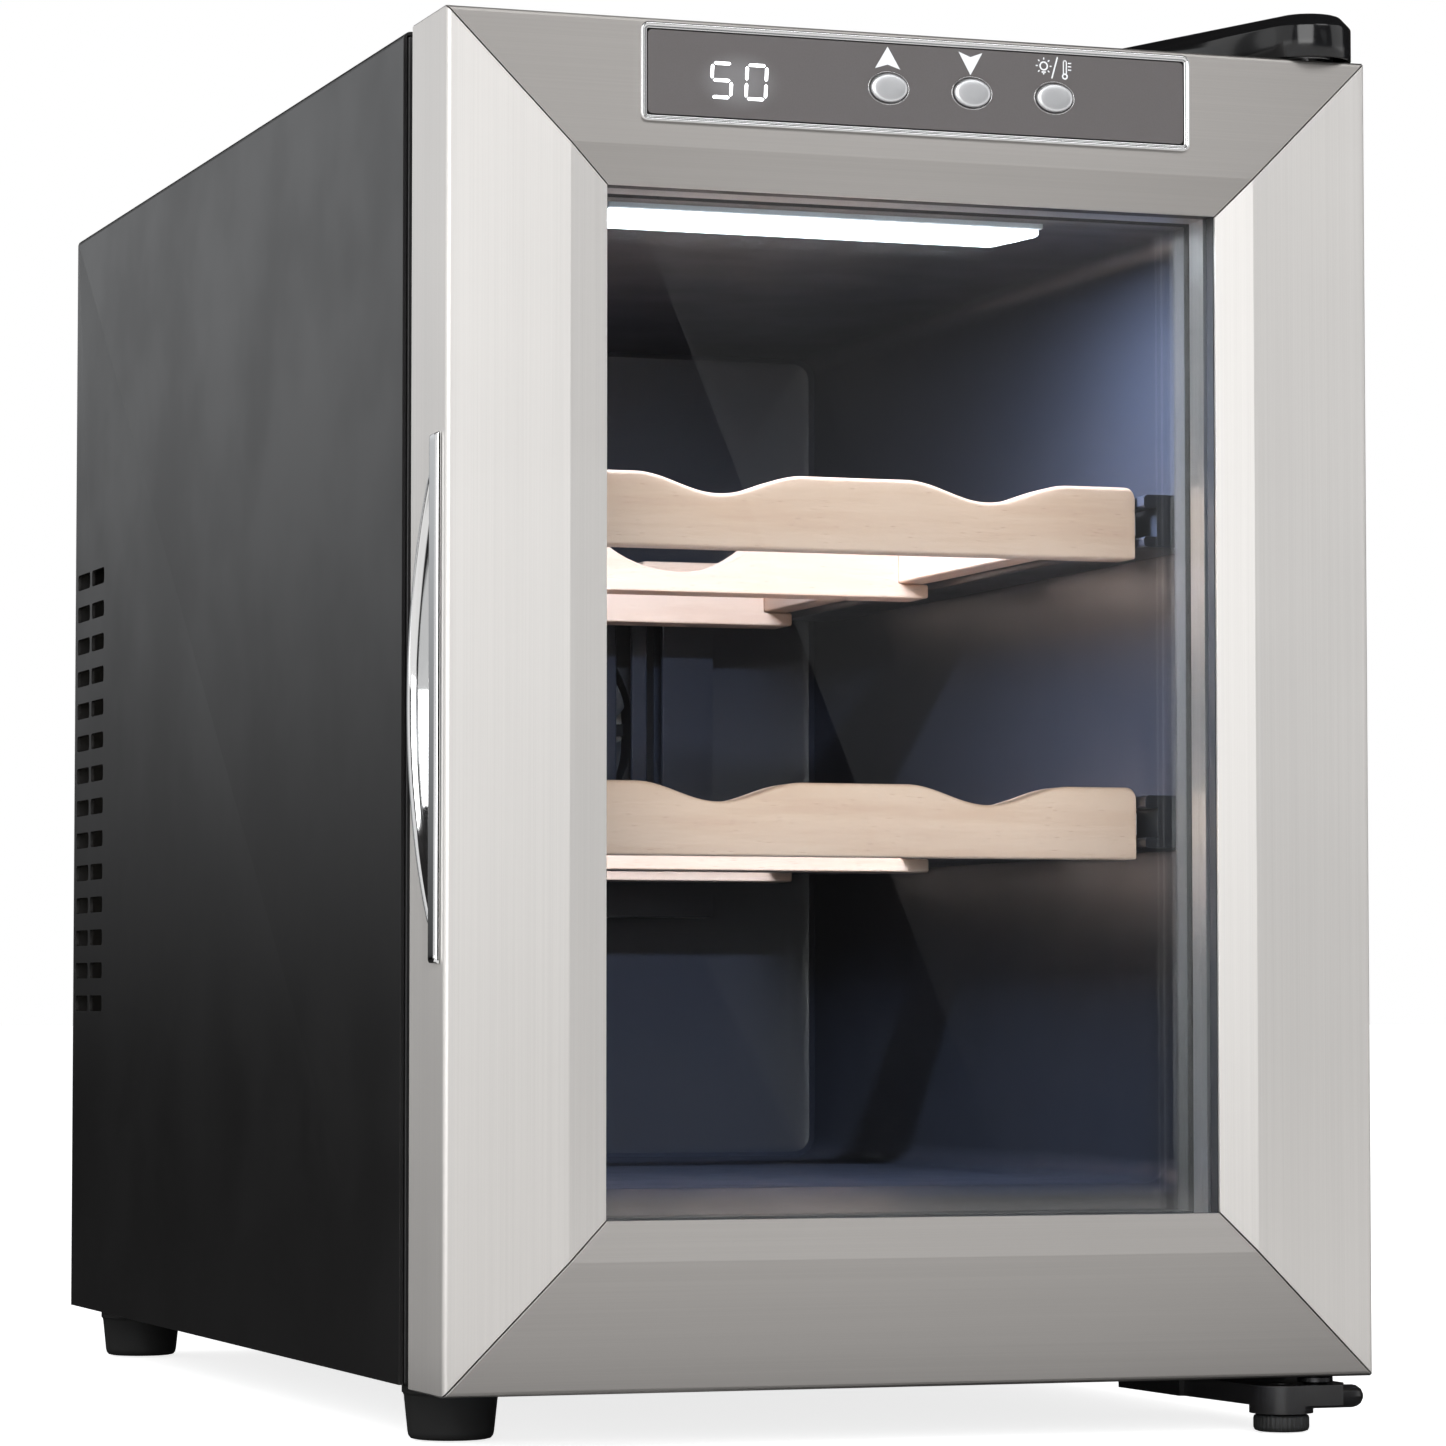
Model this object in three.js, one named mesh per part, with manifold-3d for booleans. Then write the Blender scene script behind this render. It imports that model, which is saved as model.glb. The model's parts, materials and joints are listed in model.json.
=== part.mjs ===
// A countertop wine cooler for six bottles: a black steel cabinet round a foam-insulated plastic
// liner, a door of double glass in a mitred stainless frame, two slatted beech shelves and a
// thermoelectric cooling stack at the back.
//
// Millimetres. While the pieces are made, X runs to the right, Y to the back from the door's front
// face, and Z up from the floor; the finished group is then moved so that the origin is the centre
// of the whole object's footprint.

import * as THREE from "three";
import { mergeVertices } from "three/addons/utils/BufferGeometryUtils.js";
import Module from "manifold-3d";

const wasm = await Module();
wasm.setup();

// ---------------------------------------------------------------- driving dimensions

const GAP = 0.3; // clearance between neighbouring pieces
const THROUGH = 1; // how far a cutter runs past the faces that it cuts
const LAP = 0.5; // how far one shape runs into the next before the two are joined

// Cabinet
const WIDTH = 260; // across the cabinet and the door
const CABINET_HEIGHT = 355;
const DEPTH = 443; // door face to the back panel's rear face
const FOOT_HEIGHT = 15.3;
const CABINET_FRONT = 40.7; // front edge of the steel wrap
const SHEET = 1; // steel of the wrap
const SHEET_CORNER = 2; // outer bend radius of the wrap
const REAR_FOLD = 10; // width of the wrap's folded rear edges
const BASE_SHEET = 1.2;
const BASE_FLANGE = 8;
const BACK_PANEL = 1.2;
const FRONT_FRAME = 3; // plastic frame round the liner's mouth

// Side vents: slots in two columns near the cabinet's rear edge
const VENT = { rows: 14, pitch: 10.74, height: 5.2, length: 18.5, radius: 1.2, first: 99.7 };
const VENT_COLUMNS = 2;
const VENT_COLUMN_PITCH = 21.3;
const VENT_REAR_MARGIN = 3.7;

// Feet
const FOOT = { top: 13, bottom: 11.3, inset: 18.5, front: 56, rear: 23 };

// Liner
const LINER_WALL = 2;
const LINER_SIDE = 30; // outside of the cabinet to the liner's inner face
const LINER_TOP = 41.3;
const LINER_FLOOR = 49.2;
const MOUTH_FLARE = 3.5; // how far the side walls open out at the mouth
const MOUTH_FLARE_TOP = 1.5;
const MOUTH_STEP = 7.5; // how far the floor drops at the mouth
const MOUTH_DEPTH = 26;
const LINER_FLANGE = 9;

// Door
const DOOR_DEPTH = 32;
const DOOR_DROP = 0.7; // the door hangs this much below the cabinet's underside
const DOOR_TOP_DROP = 0.1; // and ends this much below its top
const SKIN = 1; // stainless sheet
const FRAME_WIDTH = 44; // outer edge to the window, all round
const FRAME_FLAT = 33.5; // flat part of that width; the rest slopes inwards
const BEVEL_DROP = 1.8;
const SKIN_CORNER = 1.2;
const MITRE = 0.22; // half the mitre's opening, measured along the edge
const OUTER_GLASS = 4;
const INNER_GLASS = 3;
const GLASS_SET_BACK = 8; // door face to the outer glass
const GLASS_LAP = 5; // how far the panes reach behind the frame
const SPACER = { depth: 9, width: 4.5 };
const INNER_FRAME = 4;
const GASKET = { inset: 13.5, base: 10, lip: 6, foot: 2.5 };

// Handle: a chrome cup let into the door's left edge
const PULL = { length: 118, front: 9.6, bulge: 21.4, depth: 13, wall: 1.5, rim: 1.4, proud: 0.8 };
const PULL_STRIP = { length: 136, front: 3.2, back: 9.9, proud: 1.5, corner: 1 };

// Controls in the top rail
const PANEL = { width: 155.5, height: 26, radius: 2.2, fromTop: 1.2, rim: 1.7, proud: 1 };
const PANEL_SKIRT = 1.1;
const PANEL_HOLE_RADIUS = 1.2;
const PANEL_FACE_BACK = 0.9;
const CONTROL_POCKET = { margin: 4.5, depth: 13 };
const BUTTON = { width: 10.4, height: 7.7, proud: 1.7, pitch: 23.6, centre: 14.7, drop: 0.7 };
const BUTTON_TRAVEL = 0.8;
const BUTTON_FLANGE = { out: 1, behind: 0.5, thickness: 2 };
const BUTTON_STEM = 0.4; // its radius as a share of the cap's
// The cap's dome as [share of the radius, depth behind its top]
const BUTTON_DOME = [
  [0, 0],
  [0.5, 0.15],
  [0.85, 0.5],
  [1, 1],
];
const BOARD = 1.6; // thickness of every circuit board
const CONTROL_BOARD_FRONT = 8;
const DIGITS = { width: 20, height: 14, inset: 27, depth: 6 };

// Hinges
const HINGE_X = 13.5; // pin axis in from the right side
const HINGE_Y = 8; // and back from the door face
const PIN_RADIUS = 3;
const PIN_CLEARANCE = 0.1;
const PIN_REACH = 12; // length of each pin inside the door
const COVER = { height: 12.4, radius: 12, chamfer: 3, wall: 1.6, rear: 78, leftRear: 36.5 };
const TOP_BRACKET = 2.5;
const PIN_HEAD = { radius: 5, height: 2.2 };
const LEVELLER = { radius: 7.5, height: 4.6, stud: 3, boss: 8.6, inset: 24, back: 7 };
const BOTTOM_ARM = {
  under: 7,
  thickness: 5.4,
  rear: 82,
  left: 39,
  right: 5,
  tuck: 0.6,
  padFront: 4,
  padSlant: 2,
};
const FINGER = { radius: 3.1, length: 13, reach: 2.2, height: 9.2, back: 2.5 };
const PIN_COLLAR = 4.8;

// Shelves
const SHELF = { front: 51, bar: 12, height: 19.8, side: 17.5, first: 89.7, pitch: 83.1 };
const SLAT = { depth: 16, railWidth: 9.3, railHeight: 10, railLift: 4.5, railInset: 2.7 };
const BOTTLE = { radius: 38, pitch: 78, neckDip: 5.4, under: 6 };
const GLIDE = { proud: 3.8, height: 7, lift: 6.4, running: 0.6 };
const LEDGE = { lift: 3, height: 15, front: 46, clearance: 0.4 };
const SHELF_REAR_MARGIN = 12;

// Lamp sunk into the liner's ceiling, nearer to the opening side
const LAMP = {
  middle: -8.2,
  length: 126,
  depth: 26,
  height: 7.5,
  sunk: 6,
  wall: 1.5,
  front: 49.5,
  slope: 4,
  lens: 1.6,
  lensInset: 0.5,
  boardLift: 3,
};
const LED = { count: 6, size: 3.5, height: 1 };

// Cooling stack
const COOLING_HEIGHT = 189.7; // its centre above the cabinet's underside
const COLD_COVER = { margin: 18, depth: 7.7, wall: 1.8, slots: 9, slotWidth: 5, slotPitch: 10.5 };
const COLD_FAN = { size: 80, depth: 12, bore: 37.5, hub: 13, blades: 7, spoke: 2 };
const COLD_SINK = { half: 44, fins: 11, finLength: 10, base: 4, finThick: 1.6, pedestal: 7 };
const PELTIER = { half: 20, thickness: 3.6 };
const HOT_SINK = { half: 55, fins: 15, finLength: 19, base: 4, finThick: 1.6 };
const HOT_FAN = { size: 92, depth: 20, bore: 43.5, hub: 16, blades: 7, spoke: 2.5 };
const SPOKE_WIDTH = 4;
const ROTOR_SETBACK = 1;
const FAN_TO_PANEL = 2;
const GRILLE = { radius: 43, bar: 3.2, slot: 5.2 };
const BLADE = { thickness: 1.2, pitch: 0.95, chord: 0.9, clearance: 1.2 };
const POWER_BOARD = { width: 132, height: 74, left: 50, up: 10.7, back: 36.2 };
// Its parts as [left, bottom, width, height, depth], and its capacitors as [left, bottom, radius, depth]
const BOARD_BLOCKS = [
  [12, 20, 38, 36, 20],
  [62, 34, 20, 28, 13],
  [92, 54, 32, 12, 9],
];
const CAPACITORS = [
  [94, 20, 7, 18],
  [112, 20, 5, 14],
  [112, 36, 5, 14],
];
const INLET = { inset: 48, up: 36.7, width: 27.5, height: 20, depth: 20, flange: 3.5, plate: 2, corner: 2 };
const SOCKET = { width: 22.5, height: 15.5, depth: 16 };

// ---------------------------------------------------------------- derived places

const CABINET_BOTTOM = FOOT_HEIGHT;
const CABINET_TOP = FOOT_HEIGHT + CABINET_HEIGHT;
const DOOR = rect(-WIDTH / 2, WIDTH / 2, CABINET_BOTTOM - DOOR_DROP, CABINET_TOP - DOOR_TOP_DROP);
const WINDOW = inset(DOOR, FRAME_WIDTH);
const INSIDE_SHELL = rect(
  -WIDTH / 2 + SHEET + GAP,
  WIDTH / 2 - SHEET - GAP,
  CABINET_BOTTOM + BASE_SHEET + GAP,
  CABINET_TOP - SHEET - GAP,
);
const LINER = rect(
  -WIDTH / 2 + LINER_SIDE,
  WIDTH / 2 - LINER_SIDE,
  CABINET_BOTTOM + LINER_FLOOR,
  CABINET_TOP - LINER_TOP,
);
const MOUTH = rect(
  LINER.x0 - MOUTH_FLARE,
  LINER.x1 + MOUTH_FLARE,
  LINER.z0 - MOUTH_STEP,
  LINER.z1 + MOUTH_FLARE_TOP,
);
const LINER_FRONT = CABINET_FRONT + FRONT_FRAME + GAP;
const HINGE = { x: WIDTH / 2 - HINGE_X, y: HINGE_Y };
const COOLING_Z = CABINET_BOTTOM + COOLING_HEIGHT;

// The cooling stack is set out from the back panel forwards.
const PANEL_FRONT = DEPTH - BACK_PANEL;
const HOT_FAN_FRONT = PANEL_FRONT - FAN_TO_PANEL - HOT_FAN.depth;
const HOT_SINK_FRONT = HOT_FAN_FRONT - GAP - HOT_SINK.finLength - HOT_SINK.base;
const PELTIER_FRONT = HOT_SINK_FRONT - GAP - PELTIER.thickness;
const COLD_BASE_REAR = PELTIER_FRONT - GAP - COLD_SINK.pedestal;
const COLD_SINK_FRONT = COLD_BASE_REAR - COLD_SINK.base - COLD_SINK.finLength;
const COLD_FAN_FRONT = COLD_SINK_FRONT - GAP - COLD_FAN.depth;
const LINER_REAR = COLD_FAN_FRONT - 1;
const COLD_COVER_FRONT = LINER_REAR - GAP - COLD_COVER.depth;
const FOAM_REAR = HOT_SINK_FRONT - GAP;
const COLD_RECESS_HALF = Math.max(COLD_SINK.half, COLD_FAN.size / 2);
const COLD_COVER_HALF = COLD_RECESS_HALF + COLD_COVER.margin;

const SHELF_LEVELS = [0, 1].map((i) => LINER.z0 + SHELF.first + i * SHELF.pitch);
const SHELF_HALF = LINER.x1 - SHELF.side;
const SHELF_REAR = COLD_COVER_FRONT - SHELF_REAR_MARGIN;
const INLET_AT = { x: WIDTH / 2 - INLET.inset, z: CABINET_BOTTOM + INLET.up };

// ---------------------------------------------------------------- finishes

const FINISHES = {
  blackPaint: { color: 0x1d1b1c, roughness: 0.4, metalness: 0.1 },
  blackPlastic: { color: 0x151415, roughness: 0.5, metalness: 0 },
  linerPlastic: { color: 0x2a2b2f, roughness: 0.45, metalness: 0 },
  stainless: { color: 0xbdb9b4, roughness: 0.32, metalness: 0.9 },
  chrome: { color: 0xe6e7ea, roughness: 0.06, metalness: 1 },
  satinChrome: { color: 0xc8c8ca, roughness: 0.2, metalness: 1 },
  panelGrey: { color: 0x6a6565, roughness: 0.35, metalness: 0.2 },
  smokedGlass: { color: 0x30343a, roughness: 0.03, metalness: 0, transparent: true, opacity: 0.35 },
  clearGlass: { color: 0xdfe8ea, roughness: 0.03, metalness: 0, transparent: true, opacity: 0.2 },
  beech: { color: 0xe2c3ab, roughness: 0.55, metalness: 0 },
  rubber: { color: 0x121212, roughness: 0.8, metalness: 0 },
  aluminium: { color: 0xb4b6b8, roughness: 0.4, metalness: 0.9 },
  steel: { color: 0x8f8f92, roughness: 0.35, metalness: 0.9 },
  foam: { color: 0xd9cfa8, roughness: 0.9, metalness: 0 },
  whitePlastic: { color: 0xe9ecee, roughness: 0.4, metalness: 0 },
  ceramic: { color: 0xe8e6df, roughness: 0.6, metalness: 0 },
  circuitGreen: { color: 0x1f5a35, roughness: 0.5, metalness: 0 },
};

// ---------------------------------------------------------------- shapes and solids

function rect(x0, x1, z0, z1) {
  return { x0, x1, z0, z1 };
}

function inset(r, d) {
  return rect(r.x0 + d, r.x1 - d, r.z0 + d, r.z1 - d);
}

function centred(x, z, width, height) {
  return rect(x - width / 2, x + width / 2, z - height / 2, z + height / 2);
}

function polygon(points) {
  return new THREE.Shape(points.map(([u, v]) => new THREE.Vector2(u, v)));
}

function rounded(r, radius) {
  const shape = new THREE.Shape();
  shape.moveTo(r.x0 + radius, r.z0);
  shape.lineTo(r.x1 - radius, r.z0);
  shape.absarc(r.x1 - radius, r.z0 + radius, radius, -Math.PI / 2, 0);
  shape.lineTo(r.x1, r.z1 - radius);
  shape.absarc(r.x1 - radius, r.z1 - radius, radius, 0, Math.PI / 2);
  shape.lineTo(r.x0 + radius, r.z1);
  shape.absarc(r.x0 + radius, r.z1 - radius, radius, Math.PI / 2, Math.PI);
  shape.lineTo(r.x0, r.z0 + radius);
  shape.absarc(r.x0 + radius, r.z0 + radius, radius, Math.PI, 1.5 * Math.PI);
  return shape;
}

// A closed geometry as a solid, for joining and cutting.
function solid(geometry) {
  const bare = geometry.clone();
  bare.deleteAttribute("normal");
  bare.deleteAttribute("uv");
  const merged = mergeVertices(bare, 1e-4);
  const corners = merged.index.array;
  const faces = [];
  for (let i = 0; i < corners.length; i += 3) {
    const [a, b, c] = corners.slice(i, i + 3);
    if (a !== b && b !== c && c !== a) faces.push(a, b, c);
  }
  const vertProperties = merged.attributes.position.array;
  return new wasm.Manifold(
    new wasm.Mesh({ numProp: 3, vertProperties, triVerts: new Uint32Array(faces) }),
  );
}

function geometryOf(made) {
  const mesh = made.getMesh();
  const geometry = new THREE.BufferGeometry();
  geometry.setAttribute("position", new THREE.BufferAttribute(mesh.vertProperties, 3));
  geometry.setIndex(new THREE.BufferAttribute(mesh.triVerts, 1));
  const flat = geometry.toNonIndexed();
  flat.computeVertexNormals();
  return flat;
}

function join(...parts) {
  return parts.reduce((sum, part) => sum.add(part));
}

function cut(body, ...tools) {
  return tools.reduce((rest, tool) => rest.subtract(tool), body);
}

// A box over a rectangle in XZ, between two depths.
function box(r, y0, y1) {
  const geometry = new THREE.BoxGeometry(r.x1 - r.x0, y1 - y0, r.z1 - r.z0);
  geometry.translate((r.x0 + r.x1) / 2, (y0 + y1) / 2, (r.z0 + r.z1) / 2);
  return solid(geometry);
}

// Outlines pushed out along an axis: (x, z) along Y, (y, z) along X, and (x, y) along Z.
function extruded(shape, length, curveSegments) {
  return new THREE.ExtrudeGeometry(shape, { depth: length, bevelEnabled: false, curveSegments });
}

function alongY(shape, y0, y1, curveSegments = 6) {
  const geometry = extruded(shape, y1 - y0, curveSegments);
  geometry.rotateX(Math.PI / 2).translate(0, y1, 0);
  return solid(geometry);
}

function alongX(shape, x0, x1, curveSegments = 6) {
  const geometry = extruded(shape, x1 - x0, curveSegments);
  const turn = new THREE.Matrix4().makeBasis(
    new THREE.Vector3(0, 1, 0),
    new THREE.Vector3(0, 0, 1),
    new THREE.Vector3(1, 0, 0),
  );
  geometry.applyMatrix4(turn).translate(x0, 0, 0);
  return solid(geometry);
}

function alongZ(shape, z0, z1, curveSegments = 6) {
  return solid(extruded(shape, z1 - z0, curveSegments).translate(0, 0, z0));
}

function ring(outer, inner, y0, y1) {
  return cut(box(outer, y0, y1), box(inner, y0 - THROUGH, y1 + THROUGH));
}

// A block whose rectangle changes from one depth to another.
function tapered(front, y0, rear, y1) {
  const geometry = new THREE.BoxGeometry(1, 1, 1);
  const position = geometry.attributes.position;
  for (let i = 0; i < position.count; i++) {
    const isRear = position.getY(i) > 0;
    const r = isRear ? rear : front;
    position.setXYZ(
      i,
      position.getX(i) > 0 ? r.x1 : r.x0,
      isRear ? y1 : y0,
      position.getZ(i) > 0 ? r.z1 : r.z0,
    );
  }
  return solid(geometry);
}

// A profile of [radius, height] points turned about the Z axis through (x, y).
function turned(profile, x, y, segments = 24) {
  const points = profile.map(([radius, height]) => new THREE.Vector2(radius, height));
  const geometry = new THREE.LatheGeometry(points, segments);
  geometry.rotateX(Math.PI / 2).translate(x, y, 0);
  return solid(geometry);
}

// The same about an axis along Y through (x, z), its heights being depths.
function turnedAlongY(profile, x, z, segments = 24) {
  const points = profile.map(([radius, depth]) => new THREE.Vector2(radius, depth));
  return solid(new THREE.LatheGeometry(points, segments).translate(x, 0, z));
}

function post(radius, z0, z1, x, y, segments = 24) {
  const profile = [
    [0, z0],
    [radius, z0],
    [radius, z1],
    [0, z1],
  ];
  return turned(profile, x, y, segments);
}

function drum(radius, y0, y1, x, z, segments = 32) {
  const profile = [
    [0, y0],
    [radius, y0],
    [radius, y1],
    [0, y1],
  ];
  return turnedAlongY(profile, x, z, segments);
}

const root = new THREE.Group();

function piece(name, made, finish) {
  const material = new THREE.MeshStandardMaterial(FINISHES[finish]);
  const mesh = new THREE.Mesh(geometryOf(made), material);
  mesh.name = name;
  root.add(mesh);
}

// ---------------------------------------------------------------- cabinet

function cabinetShell() {
  const outer = rect(-WIDTH / 2, WIDTH / 2, CABINET_BOTTOM, CABINET_TOP);
  const below = { ...outer, z0: outer.z0 - 2 * SHEET_CORNER };
  const hollow = { ...inset(below, SHEET), z0: below.z0 - THROUGH };
  const wrap = cut(
    alongY(rounded(below, SHEET_CORNER), CABINET_FRONT, DEPTH, 3),
    box(hollow, CABINET_FRONT - THROUGH, DEPTH + THROUGH),
    box({ ...below, z1: CABINET_BOTTOM }, CABINET_FRONT - THROUGH, DEPTH + THROUGH),
  );
  const foldRear = PANEL_FRONT - GAP;
  const folds = [-1, 1].map((side) => {
    const edge = (side * WIDTH) / 2;
    const inner = edge - side * REAR_FOLD;
    const across = [Math.min(edge, inner), Math.max(edge, inner)];
    return box(rect(...across, CABINET_BOTTOM, CABINET_TOP - SHEET), foldRear - SHEET, foldRear);
  });
  return cut(join(wrap, ...folds), ...sideVents());
}

// Each slot cuts both side walls in one pass.
function sideVents() {
  const slots = [];
  for (let column = 0; column < VENT_COLUMNS; column++) {
    const rear = DEPTH - VENT_REAR_MARGIN - column * VENT_COLUMN_PITCH;
    for (let row = 0; row < VENT.rows; row++) {
      const z = CABINET_BOTTOM + VENT.first + row * VENT.pitch;
      const slot = rect(rear - VENT.length, rear, z - VENT.height / 2, z + VENT.height / 2);
      slots.push(alongX(rounded(slot, VENT.radius), -WIDTH, WIDTH, 1));
    }
  }
  return slots;
}

function cabinetBase() {
  const x = INSIDE_SHELL.x1;
  const z = CABINET_BOTTOM;
  const section = polygon([
    [-x, z],
    [x, z],
    [x, z + BASE_FLANGE],
    [x - BASE_SHEET, z + BASE_FLANGE],
    [x - BASE_SHEET, z + BASE_SHEET],
    [-x + BASE_SHEET, z + BASE_SHEET],
    [-x + BASE_SHEET, z + BASE_FLANGE],
    [-x, z + BASE_FLANGE],
  ]);
  return alongY(section, LINER_FRONT, PANEL_FRONT - 2 * GAP - SHEET);
}

function frontFrame() {
  const outer = { ...INSIDE_SHELL, z0: CABINET_BOTTOM };
  return ring(outer, MOUTH, CABINET_FRONT, CABINET_FRONT + FRONT_FRAME);
}

// The liner's inner space grown by a margin on every side: 0 gives the space, LINER_WALL the
// moulding's outside, and a little more the hollow in the foam.
function linerVolume(margin) {
  const mouthRear = LINER_FRONT + MOUTH_DEPTH;
  const grown = inset(LINER, -margin);
  const recess = centred(0, COOLING_Z, 2 * COLD_RECESS_HALF, 2 * COLD_RECESS_HALF);
  return join(
    tapered(inset(MOUTH, -margin), LINER_FRONT, grown, mouthRear),
    box(grown, (LINER_FRONT + mouthRear) / 2, LINER_REAR + margin),
    box(inset(recess, -2 * GAP - margin), LINER_REAR, COLD_BASE_REAR + GAP + margin),
  );
}

// A shelf ledge: a rib on the side wall with a groove that carries the shelf's glide.
function ledge(side, level) {
  const inner = SHELF_HALF + GLIDE.running;
  const groove = SHELF_HALF + GLIDE.proud + GLIDE.running;
  const bottom = level + LEDGE.lift;
  const runner = level + GLIDE.lift;
  const section = polygon([
    [side * inner, bottom],
    [side * (LINER.x1 + MOUTH_FLARE + LINER_WALL), bottom],
    [side * (LINER.x1 + MOUTH_FLARE + LINER_WALL), bottom + LEDGE.height],
    [side * inner, bottom + LEDGE.height],
    [side * inner, runner + GLIDE.height + LEDGE.clearance],
    [side * groove, runner + GLIDE.height + LEDGE.clearance],
    [side * groove, runner - GAP],
    [side * inner, runner - GAP],
  ]);
  return alongY(section, LEDGE.front, SHELF_REAR + LEDGE.clearance);
}

function innerLiner() {
  const outside = linerVolume(LINER_WALL);
  const ledges = SHELF_LEVELS.flatMap((level) => [ledge(-1, level), ledge(1, level)]);
  const flange = ring(inset(MOUTH, -LINER_FLANGE), MOUTH, LINER_FRONT, LINER_FRONT + LINER_WALL);
  const pedestal = centred(0, COOLING_Z, 2 * PELTIER.half + 2 * GAP, 2 * PELTIER.half + 2 * GAP);
  return join(
    cut(outside, linerVolume(0), tapered(MOUTH, LINER_FRONT - THROUGH, MOUTH, LINER_FRONT)),
    flange,
    ...ledges.map((made) => made.intersect(outside)),
  ).subtract(join(lampPocket(), box(pedestal, COLD_BASE_REAR, COLD_BASE_REAR + 2 * LINER_WALL)));
}

function insulation() {
  const side = BASE_SHEET + GAP;
  const block = {
    x0: INSIDE_SHELL.x0 + side,
    x1: INSIDE_SHELL.x1 - side,
    z0: INSIDE_SHELL.z0,
    z1: INSIDE_SHELL.z1,
  };
  const front = LINER_FRONT + LINER_WALL + GAP;
  const port = centred(0, COOLING_Z, 2 * PELTIER.half + 4 * GAP, 2 * PELTIER.half + 4 * GAP);
  return cut(
    box(block, front, FOAM_REAR),
    linerVolume(LINER_WALL + GAP),
    lampPocket(),
    box(port, COLD_BASE_REAR, FOAM_REAR + THROUGH),
  );
}

function backPanel() {
  const plate = box(INSIDE_SHELL, PANEL_FRONT, DEPTH);
  const inlet = inset(centred(INLET_AT.x, INLET_AT.z, INLET.width, INLET.height), -GAP);
  return cut(plate, ...grilleSlots(), box(inlet, PANEL_FRONT - THROUGH, DEPTH + THROUGH));
}

// Slots across a circle, each as long as the circle is wide at its height.
function grilleSlots() {
  const pitch = GRILLE.bar + GRILLE.slot;
  const rows = Math.floor((2 * GRILLE.radius - GRILLE.slot) / pitch / 2);
  const slots = [];
  for (let row = -rows; row <= rows; row++) {
    const far = Math.abs(row * pitch) + GRILLE.slot / 2;
    const half = Math.sqrt(GRILLE.radius ** 2 - far ** 2);
    const length = half - GRILLE.bar / 2;
    const middle = (half + GRILLE.bar / 2) / 2;
    for (const x of [-middle, middle]) {
      const slot = centred(x, COOLING_Z + row * pitch, length, GRILLE.slot);
      slots.push(box(slot, PANEL_FRONT - THROUGH, DEPTH + THROUGH));
    }
  }
  return slots;
}

function foot(x, y) {
  const top = CABINET_BOTTOM - GAP;
  const profile = [
    [0, 0],
    [FOOT.bottom, 0],
    [FOOT.top, top],
    [0, top],
  ];
  return turned(profile, x, y);
}

function buildCabinet() {
  const footX = WIDTH / 2 - FOOT.inset;
  piece("cabinet_shell", cabinetShell(), "blackPaint");
  piece("cabinet_base", cabinetBase(), "blackPaint");
  piece("front_frame", frontFrame(), "blackPlastic");
  piece("inner_liner", innerLiner(), "linerPlastic");
  piece("insulation", insulation(), "foam");
  piece("back_panel", backPanel(), "blackPlastic");
  piece("foot_front_left", foot(-footX, FOOT.front), "rubber");
  piece("foot_rear_left", foot(-footX, DEPTH - FOOT.rear), "rubber");
  piece("foot_rear_right", foot(footX, DEPTH - FOOT.rear), "rubber");
}

// ---------------------------------------------------------------- hinges

// The top cover seen from above: a round knuckle over the pin, widening to the rear.
function coverOutline(margin) {
  const radius = COVER.radius - margin;
  const rear = COVER.rear - margin;
  const left = WIDTH / 2 - COVER.leftRear - HINGE_X + margin;
  const right = HINGE.x + radius;
  const slant = Math.atan2(HINGE.x - left, rear - HINGE.y);
  const shape = new THREE.Shape();
  shape.moveTo(right, rear);
  shape.lineTo(left, rear);
  shape.absarc(HINGE.x, HINGE.y, radius, Math.PI + slant / 2, 2 * Math.PI);
  return shape;
}

function topCover() {
  const bottom = CABINET_TOP + GAP;
  const top = bottom + COVER.height;
  const hull = new THREE.ExtrudeGeometry(coverOutline(COVER.chamfer), {
    depth: COVER.height,
    bevelThickness: COVER.chamfer,
    bevelSize: COVER.chamfer,
    bevelSegments: 1,
    curveSegments: 12,
  });
  hull.translate(0, 0, bottom - COVER.chamfer);
  const everywhere = rect(-WIDTH, WIDTH, bottom - 2 * COVER.height, bottom);
  return cut(
    solid(hull),
    box(everywhere, -DEPTH, DEPTH),
    alongZ(coverOutline(COVER.chamfer + COVER.wall), bottom - THROUGH, top - COVER.wall, 12),
  );
}

function topBracket() {
  const bottom = CABINET_TOP + 2 * GAP;
  const top = bottom + TOP_BRACKET;
  const plate = alongZ(coverOutline(COVER.chamfer + COVER.wall + GAP), bottom, top, 12);
  return cut(plate, post(PIN_RADIUS + GAP, bottom - THROUGH, top + THROUGH, HINGE.x, HINGE.y));
}

function topPin() {
  const seat = CABINET_TOP + 3 * GAP + TOP_BRACKET;
  const profile = [
    [0, DOOR.z1 - PIN_REACH],
    [PIN_RADIUS, DOOR.z1 - PIN_REACH],
    [PIN_RADIUS, seat],
    [PIN_HEAD.radius, seat],
    [PIN_HEAD.radius, seat + PIN_HEAD.height],
    [0, seat + PIN_HEAD.height],
  ];
  return turned(profile, HINGE.x, HINGE.y);
}

const LEVELLER_AT = { x: WIDTH / 2 - LEVELLER.inset, y: LEVELLER.back };
const ARM_TOP = BOTTOM_ARM.under + BOTTOM_ARM.thickness;

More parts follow.
